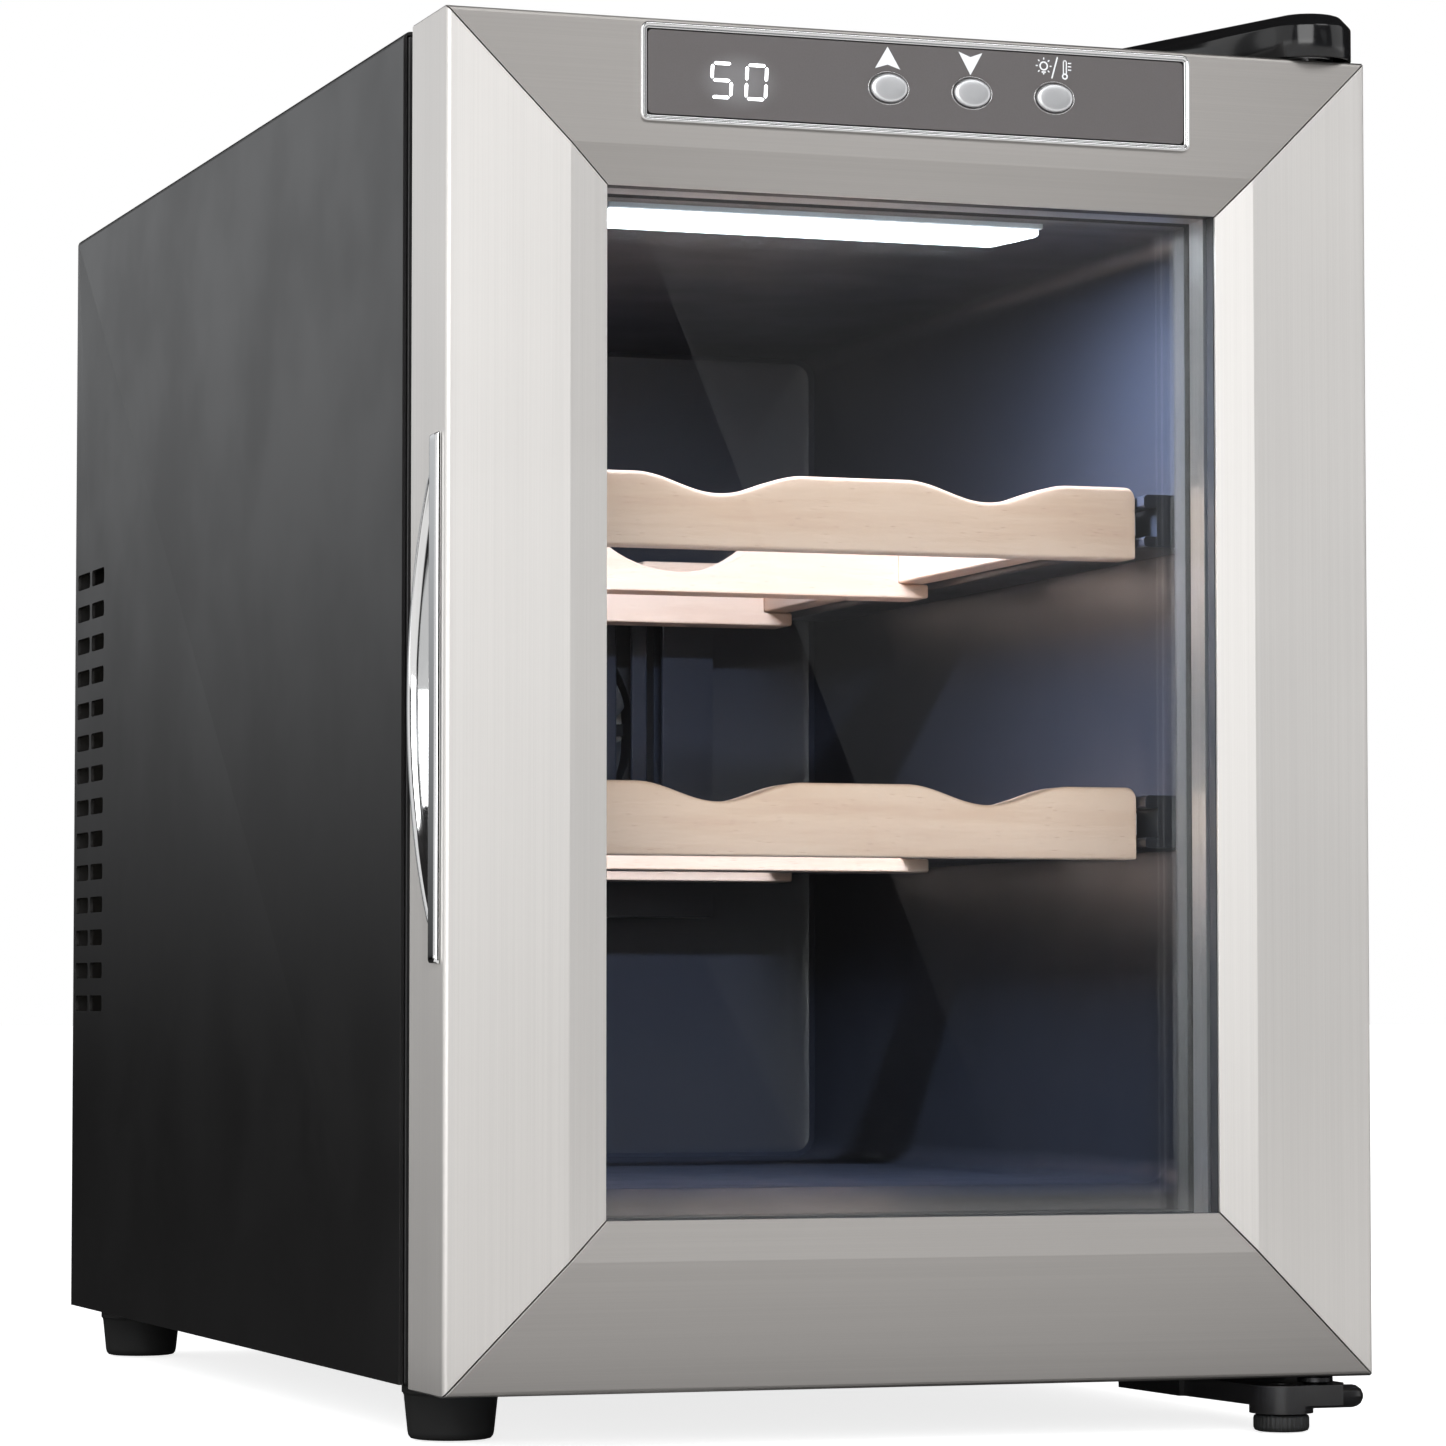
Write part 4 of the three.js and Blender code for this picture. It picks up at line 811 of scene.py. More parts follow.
@dataclass(frozen=True)
class PanelFace(Finish):
    """The control panel's screen-printed face, with the glow that the lit digits cast on it."""

    colour: Colour = (0.090, 0.082, 0.081)
    glow_at: tuple[float, float] = (0.0, 0.0)

    def wire(self, w: Wiring, shader: bpy.types.Node) -> None:
        """The glow fades out 13 mm from the digits' middle; fine print grain varies the rest."""
        place = w.object_place()
        spread = w.stretched(place, (1.0, 0.0, 1.45))
        centre = (self.glow_at[0], 0.0, self.glow_at[1] * 1.45)
        away = w.add("VectorMath", {0: spread, 1: centre}, operation="DISTANCE").outputs["Value"]
        glow = w.between(away, 0.003, 0.013, 0.10, 0.0)
        print_grain = w.noise(place, 2500.0, 2.0)
        speckle = w.between(print_grain, 0.3, 0.7, 0.0, 0.12)
        tone = w.mixed(speckle, opaque(self.colour), opaque(SPECK))
        self.set(
            w, shader, Base_Color=tone,
            Roughness=w.between(w.noise(place, 40.0, 4.0), 0.35, 0.7, 0.30, 0.32),
            Emission_Color=w.mixed(glow, opaque((0.0, 0.0, 0.0)), opaque((0.9, 0.95, 1.0))),
            Emission_Strength=1.0,
        )


@dataclass(frozen=True)
class Printed(Finish):
    """Screen-printed ink, slightly uneven at its edges."""

    colour: Colour = (0.68, 0.69, 0.70)

    def wire(self, w: Wiring, shader: bpy.types.Node) -> None:
        """Fine noise thins the ink here and there."""
        grain = w.noise(w.object_place(), 4200.0, 2.0)
        dim = tuple(0.8 * c for c in self.colour)
        tone = w.mixed(w.between(grain, 0.4, 0.7, 0.0, 0.6), opaque(self.colour), opaque(dim))
        self.set(w, shader, Base_Color=tone, Roughness=w.between(grain, 0.3, 0.7, 0.4, 0.5))


@dataclass(frozen=True)
class Lit(Finish):
    """A surface lit from behind, brighter over each of a row of lamps."""

    colour: Colour = (0.85, 0.93, 1.0)
    strength: float = 2.0
    spot: float = 0.0
    first: float = 0.0
    pitch: float = 1.0
    depth: float = 0.0

    def wire(self, w: Wiring, shader: bpy.types.Node) -> None:
        """Each spot fades with distance from the nearest lamp: x is wrapped to one lamp's pitch."""
        place = w.add("SeparateXYZ", {0: w.object_place()})
        turns = w.math("DIVIDE", w.math("SUBTRACT", place.outputs["X"], self.first), self.pitch)
        wrapped = w.math("SUBTRACT", w.math("FRACT", w.math("ADD", turns, 0.5)), 0.5)
        across = w.math("MULTIPLY", wrapped, self.pitch)
        deep = w.math("SUBTRACT", place.outputs["Y"], self.depth)
        squares = [w.math("MULTIPLY", part, part) for part in (across, deep)]
        away = w.math("SQRT", w.math("ADD", *squares))
        spots = w.between(away, 0.0005, 0.006, self.spot, 0.0)
        level = w.math("ADD", spots, w.between(w.noise(w.object_place(), 60.0), 0.3, 0.7, 0.9, 1.0))
        lift = w.add("VectorMath", {0: self.colour, "Scale": level}, operation="SCALE").outputs[0]
        self.set(
            w, shader, Base_Color=(0.8, 0.8, 0.8), Roughness=0.4, Emission_Color=lift,
            Emission_Strength=self.strength,
        )


@dataclass(frozen=True)
class CircuitBoard(Finish):
    """Green lacquer over traces up to a depth, and dark or pale parts beyond it."""

    part: Colour = (0.02, 0.02, 0.022)
    parts_from: float = 1.0

    def wire(self, w: Wiring, shader: bpy.types.Node) -> None:
        """Traces are the gaps between square cells; parts take over past the board's rear."""
        place = w.object_place()
        inputs = {"Vector": place, "Scale": 260.0, "Randomness": 0.6}
        cells = w.add("TexVoronoi", inputs, feature="DISTANCE_TO_EDGE", distance="EUCLIDEAN")
        trace = w.between(cells.outputs["Distance"], 0.04, 0.09, 1.0, 0.0)
        board = w.mixed(trace, opaque((0.012, 0.11, 0.045)), opaque((0.05, 0.24, 0.11)))
        depth = w.add("SeparateXYZ", {0: place}).outputs["Y"]
        beyond = w.math("GREATER_THAN", depth, self.parts_from)
        self.set(
            w, shader, Base_Color=w.mixed(beyond, board, opaque(self.part)),
            Roughness=w.between(w.noise(place, 500.0), 0.3, 0.7, 0.35, 0.5),
            Normal=w.bump(trace, 0.00003, 0.4),
        )


@dataclass(frozen=True)
class Porous(Finish):
    """A pale matt solid such as foam or ceramic, with open pores."""

    colour: Colour = (0.7, 0.62, 0.42)
    pore: float = 900.0
    roughness: float = 0.9

    def wire(self, w: Wiring, shader: bpy.types.Node) -> None:
        """Cells darken and dent the surface."""
        inputs = {"Vector": w.object_place(), "Scale": self.pore}
        cells = w.add("TexVoronoi", inputs).outputs["Distance"]
        dark = tuple(0.6 * c for c in self.colour)
        self.set(
            w, shader,
            Base_Color=w.mixed(w.between(cells, 0.1, 0.5, 0.6, 0.0), opaque(self.colour), opaque(dark)),
            Roughness=self.roughness, Normal=w.bump(cells, 0.0001, 0.4),
        )


STEEL_UPRIGHT = BrushedSteel("stainless")
# Painted shade: the level-brushed rails are the same stainless as the stiles, with their colour painted
# darker to stand in for the light they catch.
SHADED_STEEL_LEVEL = BrushedSteel("stainless", Brush.LEVEL, (0.615, 0.59, 0.568))
BLACK_PAINT = Sprayed("black_paint")
GLOSS_PAINT = Sprayed("black_paint", roughness=0.2)
BLACK_PLASTIC = Moulded("black_plastic")
GLOSS_PLASTIC = Moulded("black_plastic", (0.006, 0.006, 0.0065), 0.14, 500.0, 0.000004)
LINER_PLASTIC = Moulded("liner_plastic", (0.0125, 0.0135, 0.0185), 0.34, 1200.0, 0.000012)
WHITE_PLASTIC = Moulded("white_plastic", (0.72, 0.73, 0.74), 0.35)
RUBBER = Moulded("rubber", (0.011, 0.011, 0.011), 0.62, 900.0, 0.00003)
CHROME = Plated("chrome")
SATIN_CHROME = Plated("satin_chrome", (0.84, 0.85, 0.87), 0.4)
ALUMINIUM = Metal("aluminium", (0.72, 0.73, 0.74), 0.36)
PLAIN_STEEL = Metal("steel", (0.5, 0.5, 0.51), 0.3, Brush.ROUND)
DARK_STEEL = Metal("steel", (0.05, 0.05, 0.052), 0.28, Brush.ROUND)
BRASS = Metal("steel", (0.72, 0.58, 0.3), 0.28)
BEECH_ACROSS = Beech("beech")
BEECH_DEEP = Beech("beech", Grain.DEEP)
SMOKED_GLASS = Glazing("smoked_glass", (0.93, 0.945, 0.955))
CLEAR_GLASS = Glazing("clear_glass", (0.965, 0.975, 0.97))
INK = Printed("panel_grey")
FOAM = Porous("foam")
CERAMIC = Porous("ceramic", (0.78, 0.76, 0.7), 1500.0, 0.55)


# ---------------------------------------------------------------- cabinet


@dataclass
class Cabinet:
    """The steel wrap, its base and back panel, the frame round the mouth, and the feet."""

    bevel: float = 0.35
    foot_bottom: float = 11.3
    foot_top: float = 13.0
    foot_height: float = 15.0
    screw_radius: float = 3.6
    screw_margin: float = 9.0

    def build(self, shop: Workshop) -> None:
        """Makes and dresses every piece of the cabinet."""
        shop.softened("cabinet_shell", BLACK_PAINT, self.bevel)
        shop.softened("back_panel", BLACK_PAINT, 0.3)
        shop.softened("front_frame", BLACK_PLASTIC, 0.6, 3)
        shop.dress(BLACK_PAINT, "cabinet_base")
        shop.dress(FOAM, "insulation")
        for node in ("foot_front_left", "foot_rear_left", "foot_rear_right"):
            self.foot(shop, node)
        self.screws(shop)

    def foot(self, shop: Workshop, node: str) -> None:
        """A tapered rubber foot with rounded rims, a step under its top and a hollow for its screw."""
        low, high = shop.datum.span(node)
        b, t, h = self.foot_bottom, self.foot_top, self.foot_height
        profile = [
            (0, 6.0), (3.4, 6.0), (4.2, 5.4), (4.4, 0.7), (4.9, 0.15), (b - 1.6, 0.0),
            (b - 0.7, 0.2), (b - 0.1, 0.9), (b + 0.15, 2.0), (t - 0.55, h - 3.6),
            (t - 0.35, h - 3.0), (t, h - 2.7), (t, h - 0.5), (t - 0.3, h - 0.1), (t - 0.8, h),
            (0, h),
        ]
        centre = ((low[0] + high[0]) / 2, (low[1] + high[1]) / 2)
        shape = lathe(profile, centre, 56)
        shop.piece(node + "_turned", shape, "cabinet", RUBBER, (node,), 40.0)

    def screws(self, shop: Workshop) -> None:
        """Domed cross-head screws round the back panel's edge."""
        low, high = shop.datum.span("back_panel")
        m = self.screw_margin
        places = [
            (x, z)
            for x in (low[0] + m, high[0] - m)
            for z in (low[2] + m, (low[2] + high[2]) / 2, high[2] - m)
        ]
        places += [((low[0] + high[0]) / 2, low[2] + m), ((low[0] + high[0]) / 2, high[2] - m)]
        for i, (x, z) in enumerate(places):
            shape = screw_head(self.screw_radius, 1.5, (x, z), high[1] + 0.02)
            shop.piece(f"panel_screw_{i + 1}", shape, "cabinet", PLAIN_STEEL, crease=50.0)


def screw_head(radius: float, rise: float, centre: tuple[float, float], seat: float) -> Shape:
    """A domed head with a cross cut in it, facing back along Y.

    Its height at radius r is rise * sqrt(1 - (r / R)^2), less a cross-shaped dip where the
    distance to either of two crossed lines is small and r is under half of R.

    Args:
        radius: R, the head's radius.
        rise: The dome's height.
        centre: (x, z) of its middle.
        seat: The depth that it stands on.

    Returns:
        The closed head.
    """
    rings, segments = 14, 40
    share = np.linspace(0, 1, rings)[:, None]
    angle = np.linspace(0, 2 * math.pi, segments, endpoint=False)[None, :]
    u, v = radius * share * np.cos(angle), radius * share * np.sin(angle)
    dome = rise * np.sqrt(np.clip(1 - share**2, 0, 1)) + 0 * angle
    line = np.minimum(np.abs(u), np.abs(v))
    cross = (1 - blended(0.3, 0.6, line)) * (1 - blended(0.5, 0.62, share + 0 * angle))
    top = np.stack([centre[0] + u, seat + np.maximum(dome - 0.8 * cross, 0.05), centre[1] + v], -1)
    foot = top[-1:].copy()
    foot[..., 1] = seat
    middle = foot * 0 + np.array([centre[0], seat, centre[1]])
    return Shape.grid(np.concatenate([top, foot, middle]), loop_cols=True)


@dataclass
class Liner:
    """The moulded inner box: rounded corners, a mouth that flares out, and ribs for the shelves."""

    half: float = 100.0
    bottom: float = 64.5
    top: float = 329.0
    flare: float = 3.5
    flare_top: float = 1.5
    floor_step: float = 7.5
    front: float = 44.0
    mouth_rear: float = 70.0
    rear: float = 358.0
    corner: float = 7.0
    wall: float = 1.6
    recess: float = 29.6
    fan_gap: float = 4.3
    neck_gap: float = 0.3
    rib_ends: tuple[float, float] = (46.0, 338.2)

    def build(self, shop: Workshop) -> None:
        """Makes the box with its hole for the cold fan, and the four ribs."""
        shape = Shape.joined([self.box(shop), self.flange()])
        shop.piece("liner_moulding", shape, "cabinet", LINER_PLASTIC, ("inner_liner",), 24.0)
        for level in ("lower_shelf", "upper_shelf"):
            for word in ("left", "right"):
                self.rib(shop, f"{level}_glide_{word}", f"{level}_rib_{word}")

    def section(self, share: float, outward: float, corner: float) -> np.ndarray:
        """The box's outline, share of the way from its mouth to its straight part."""
        open_by = 1 - share
        return rounded_rect(
            -self.half - self.flare * open_by - outward, self.half + self.flare * open_by + outward,
            self.bottom - self.floor_step * open_by - outward,
            self.top + self.flare_top * open_by + outward, corner + outward, 8,
        )

    def box(self, shop: Workshop) -> Shape:
        """Stacks rounded outlines from the mouth to the rear wall and back along the outside."""
        hole = self.around(shop, "cold_fan_frame", self.fan_gap, 1.0)
        inner = [
            (self.section(0.0, 0, 8.5), self.front),
            (self.section(0.5, 0, 8.0), (self.front + self.mouth_rear) / 2),
            (self.section(0.97, 0, 7.6), self.mouth_rear - 1.2),
            (self.section(1.0, 0, 7.4), self.mouth_rear + 0.4),
            (self.section(1.0, 0, self.corner), self.mouth_rear + 8),
            (self.section(1.0, 0, self.corner), self.rear - 5),
            (self.section(1.0, -0.4, self.corner), self.rear - 2.5),
            (self.section(1.0, -1.7, self.corner), self.rear - 0.7),
            (self.section(1.0, -4.0, self.corner), self.rear), (hole, self.rear),
        ]
        neck = self.around(shop, "peltier_module", self.neck_gap, 1.0)
        wide = self.around(shop, "cold_fan_frame", self.fan_gap + self.wall, 2.0)
        outer = [
            (hole, self.rear + self.recess - self.wall),
            (neck, self.rear + self.recess - self.wall), (neck, self.rear + self.recess),
            (wide, self.rear + self.recess), (wide, self.rear + self.wall),
            (self.section(1.0, self.wall, self.corner), self.rear + self.wall),
            (self.section(1.0, self.wall, self.corner), self.mouth_rear),
            (self.section(0.0, self.wall, 8.5), self.front),
        ]
        rows = np.array([at_depth(outline, depth) for outline, depth in inner + outer])
        return Shape.grid(rows, loop_rows=True, loop_cols=True)

    def around(self, shop: Workshop, node: str, gap: float, corner: float) -> np.ndarray:
        """A rounded outline of (x, z) points that stands a gap outside a CAD node."""
        low, high = shop.datum.span(node)
        return rounded_rect(low[0] - gap, high[0] + gap, low[2] - gap, high[2] + gap, corner, 8)

    def flange(self) -> Shape:
        """The flat flange that closes the gap round the mouth."""
        outline = self.section(0.0, 0.0, 8.5)
        area = (outline[:, 0].min(), outline[:, 0].max(), outline[:, 1].min(), outline[:, 1].max())
        profile = np.array([(-8.8, 0.0), (-0.4, 0.0), (-0.1, 0.9), (-0.4, 1.8), (-8.8, 1.8)])
        profile[:, 1] += self.front
        return frame_sweep(area, 8.5, profile, 8)

    def rib(self, shop: Workshop, glide: str, name: str) -> None:
        """A C-shaped rib round a shelf's glide, its lips rounded, along the depth of the box."""
        low, high = shop.datum.span(glide)
        side = math.copysign(1.0, low[0] + high[0])
        wall = self.half + 0.3
        lip = min(abs(low[0]), abs(high[0])) + 3.0
        groove = max(abs(low[0]), abs(high[0])) + 0.6
        z0, z1 = low[2] - 0.5, high[2] + 0.5
        section = np.array(
            [
                (wall, z0 - 2.9), (lip + 1.0, z0 - 2.9), (lip + 0.3, z0 - 2.6), (lip, z0 - 1.9),
                (lip, z0 - 0.6), (lip + 0.5, z0), (groove, z0), (groove, z1), (lip + 0.5, z1),
                (lip, z1 + 0.6), (lip, z1 + 2.6), (lip + 0.3, z1 + 3.2), (lip + 1.0, z1 + 3.6),
                (wall, z1 + 3.6),
            ]
        )
        section[:, 0] *= side
        shape = plate(section, *self.rib_ends)
        shop.piece(name, shape, "cabinet", LINER_PLASTIC, crease=30.0)


# ---------------------------------------------------------------- hinges and levelling foot


@dataclass
class Hinges:
    """The top hinge under its moulded cover, and the bottom arm with its levelling foot."""

    pin: tuple[float, float] = (116.5, 8.0)
    knuckle: float = 12.0
    cover_rear: float = 78.0
    cover_left: float = 80.0
    cover_bottom: float = 370.6
    cover_top: float = 383.0
    foot: tuple[float, float] = (106.0, 7.0)
    foot_radius: float = 7.5

    def build(self, shop: Workshop) -> None:
        """Makes the cover, the arm and the foot, and dresses the pins."""
        self.cover(shop)
        shop.softened("bottom_hinge_bracket", GLOSS_PAINT, 0.6, 3, 28.0)
        shop.softened("top_hinge_bracket", PLAIN_STEEL, 0.2)
        shop.dress(PLAIN_STEEL, "top_hinge_pin")
        shop.softened("bottom_hinge_pin", DARK_STEEL, 0.3)
        self.levelling_foot(shop)

    def outline(self, inward: float) -> np.ndarray:
        """The cover from above, drawn in by a margin: a round knuckle that widens to the rear."""
        x, y = self.pin
        radius = self.knuckle - inward
        rear, left = self.cover_rear - inward, self.cover_left + inward * 0.9
        right = x + radius
        slant = math.degrees(math.atan2(x - left, rear - y))
        corner = 2.5
        points = [
            arc(radius, 180 + slant / 2, 360, 28, x, y),
            arc(corner, 0, 90, 6, right - corner, rear - corner),
            arc(corner, 90, 180 - slant, 6, left + corner, rear - corner),
        ]
        return np.concatenate(points)

    def cover(self, shop: Workshop) -> None:
        """Stacks the outline: upright walls, then a rounded shoulder, then a nearly flat top."""
        steps = [
            (0.25, self.cover_bottom), (0.0, self.cover_bottom + 0.3), (0.0, self.cover_top - 3.9),
            (0.12, self.cover_top - 3.45), (0.45, self.cover_top - 3.0),
            (2.5, self.cover_top - 0.75), (2.95, self.cover_top - 0.35),
            (3.6, self.cover_top - 0.12), (5.0, self.cover_top),
        ]
        outlines = [self.outline(inward) for inward, _ in steps]
        levels = [level for _, level in steps]
        shape = upright_outlines(outlines, levels)
        shape.caps = shape.caps[1:]
        shop.piece(
            "hinge_cover_moulding", shape, "cabinet", GLOSS_PLASTIC, ("top_hinge_cover",), 60.0,
            thickness=1.4,
        )

    def levelling_foot(self, shop: Workshop) -> None:
        """A fluted rubber disc on a threaded stud, the thread a row of close ridges."""
        thread = [(3.0 - 0.45 * (i % 2), 4.6 + 0.37 * i) for i in range(20)]
        r = self.foot_radius
        disc = [
            (0, 0.0), (r - 1.3, 0.0), (r - 0.4, 0.3), (r - 0.05, 0.9), (r, 1.4), (r, 3.5),
            (r - 0.15, 4.1), (r - 0.7, 4.5), (4.0, 4.6),
        ]
        profile = disc + thread + [(0, thread[-1][1])]
        shape = lathe(profile, self.foot, 144, flutes=36, flute_depth=0.2)
        shop.piece("levelling_foot_turned", shape, "levelling_foot", RUBBER, ("levelling_foot",), 50.0)


# ---------------------------------------------------------------- door


@dataclass
class Pull:
    """The chrome pull let into the door's left edge: a raised strip, a lipped cup and its bowl."""

    middle: float = 192.4
    length: float = 118.0
    front: float = 9.6
    bulge: float = 21.4
    depth: float = 12.6
    seat: float = -130.3
    strip: tuple[float, float] = (3.2, 9.9)
    strip_length: float = 136.0

    def build(self, shop: Workshop) -> None:
        """Makes the bowl and its lip as one shell, and the strip in front of it."""
        shop.piece("pull_cup", self.cup(), "door", CHROME, ("handle_cup",), 50.0)
        shop.piece("pull_strip", self.bar(), "door", CHROME, crease=50.0)

    def outline(self, grown: float, count: int = 240) -> np.ndarray:
        """The cup's edge as (y, z): a straight chord and an arc, with its two tips rounded.

        The arc's radius is (h^2 + b^2) / 2b for half the length h and the bulge b. Points spread
        evenly along the whole edge are averaged with their neighbours over 9 mm, which rounds the
        tips, and are then pushed out along the edge's normal.

        Args:
            grown: How far outside the edge, in millimetres.
            count: Number of points.

        Returns:
            The outline's points.
        """
        half = self.length / 2
        radius = (half**2 + self.bulge**2) / (2 * self.bulge)
        centre = self.front + self.bulge - radius
        reach = math.degrees(math.asin(half / radius))
        bow = arc(radius, -reach, reach, 400, centre, self.middle)
        chord = np.linspace(bow[-1], bow[0], 300)[1:-1]
        edge = np.concatenate([bow, chord])
        steps = np.linalg.norm(np.roll(edge, -1, 0) - edge, axis=1)
        along = np.concatenate([[0], np.cumsum(steps)])
        ring = np.concatenate([edge, edge[:1]])
        even = np.linspace(0, along[-1], count, endpoint=False)
        spread = np.stack([np.interp(even, along, ring[:, i]) for i in (0, 1)], -1)
        window = max(1, round(4.5 / (along[-1] / count)))
        shifts = np.arange(-window, window + 1)
        smooth = np.mean([np.roll(spread, shift, 0) for shift in shifts], 0)
        tangent = np.roll(smooth, -1, 0) - np.roll(smooth, 1, 0)
        tangent /= np.linalg.norm(tangent, axis=1, keepdims=True)
        normal = np.stack([tangent[:, 1], -tangent[:, 0]], -1)
        return smooth + grown * normal

    def cup(self) -> Shape:
        """A rolled lip round the edge, then a bowl that is a superellipse across.

        At a share s of the way from its middle to its edge the bowl is depth * (1 - s^3)^(1/3)
        deep. The rear of the shell repeats it 1.2 mm further in.
        """
        lip = [(1.25, 0.0), (1.3, 0.35), (1.0, 0.72), (0.4, 0.86), (-0.35, 0.72), (-0.95, 0.3)]
        rows = [self.row(self.outline(out), self.seat - rise) for out, rise in lip]
        edge, heart = self.outline(-1.3), np.array([self.front + self.bulge * 0.45, self.middle])
        shares = np.cos(np.linspace(0.03, math.pi / 2, 16))
        for share in shares:
            deep = self.depth * (1 - share**3) ** (1 / 3)
            rows.append(self.row(heart + (edge - heart) * share, self.seat + deep))
        for share in shares[::-1]:
            deep = self.depth * (1 - share**3) ** (1 / 3) + 1.2
            rows.append(self.row(heart + (self.outline(-0.2) - heart) * share, self.seat + deep))
        rows.append(self.row(self.outline(-0.2), self.seat + 0.4))
        return Shape.grid(np.array(rows), loop_rows=True, loop_cols=True)

    def row(self, outline: np.ndarray, x: float) -> np.ndarray:
        """An outline of (y, z) points set at one x."""
        return np.concatenate([np.full((len(outline), 1), x), outline], 1)

    def bar(self) -> Shape:
        """A flat bar with rounded long edges, whose height sinks to nothing round its two ends.

        The section is half a superellipse of power 4; its height is 1.5 * (1 - e^4)^(1/4) for e
        the way along the last 3 mm at each end.
        """
        front, back = self.strip
        turn = np.linspace(0, math.pi, 25)
        across = np.sign(np.cos(turn)) * np.abs(np.cos(turn)) ** 0.5
        rise = np.abs(np.sin(turn)) ** 0.5
        half = self.strip_length / 2
        ease = 1 - np.cos(np.linspace(0, math.pi / 2, 9))
        tail = half - 2.6 * (1 - np.sqrt(1 - (1 - ease) ** 2))[::-1]
        z = np.concatenate([-tail, tail[::-1]])
        shrink = np.clip((half - np.abs(z)) / 2.6, 0, 1)
        shrink = (1 - (1 - shrink) ** 4) ** 0.25
        middle, width = (front + back) / 2, (back - front) / 2
        y = middle + width * across[None, :] * (0.93 + 0.07 * shrink[:, None])
        x = self.seat - 1.5 * rise[None, :] * shrink[:, None] + 0 * y
        points = np.stack([x, y, self.middle + z[:, None] + 0 * y], -1)
        floor = points[:, :1].copy()
        return Shape.grid(np.concatenate([points, floor], 1), loop_cols=True, capped=True)


@dataclass
class Door:
    """The mitred steel skins on their core, the double glass, the gasket and the pull."""

    gasket_area: tuple[float, float, float, float] = (-116.5, 116.5, 28.1, 356.7)
    gasket_front: float = 32.3

    def build(self, shop: Workshop) -> None:
        """Makes and dresses every piece of the door but its controls."""
        # The top and bottom skins take the stainless with painted shade in its colour.
        for side, finish in (
            ("left", STEEL_UPRIGHT), ("right", STEEL_UPRIGHT), ("top", SHADED_STEEL_LEVEL),
            ("bottom", SHADED_STEEL_LEVEL),
        ):
            shop.softened(f"door_skin_{side}", finish, 0.16, 2, 6.0)
        shop.softened("door_core", BLACK_PLASTIC, 0.15)
        shop.softened("door_inner_frame", BLACK_PLASTIC, 0.9, 3)
        shop.dress(SMOKED_GLASS, "outer_glass")
        shop.dress(CLEAR_GLASS, "inner_glass")
        shop.dress(ALUMINIUM, "glass_spacer")
        self.gasket(shop)
        Pull().build(shop)

    def gasket(self, shop: Workshop) -> None:
        """Carries the seal's section round the door: a foot, a pleated wall and a soft magnet bead."""
        section = [
            (0.0, 0.2), (0.2, 0.0), (9.8, 0.0), (10.0, 0.2), (10.0, 1.4), (9.7, 1.8), (8.2, 2.0),
            (7.4, 2.6), (8.0, 3.3), (8.0, 3.9), (7.3, 4.5), (7.9, 5.2), (8.1, 6.2), (7.9, 7.2),
            (7.3, 7.8), (6.4, 8.05), (3.6, 8.05), (2.7, 7.8), (2.1, 7.2), (1.9, 6.2), (2.1, 5.2),
            (2.7, 4.5), (2.0, 3.9), (2.0, 3.3), (2.6, 2.6), (1.8, 2.0), (0.3, 1.8), (0.0, 1.4),
        ]
        profile = np.array(section) + np.array([0.0, self.gasket_front])
        shape = frame_sweep(self.gasket_area, 3.0, profile, 5)
        shop.piece("gasket_moulding", shape, "door", RUBBER, ("door_gasket",), 30.0)


# ---------------------------------------------------------------- controls


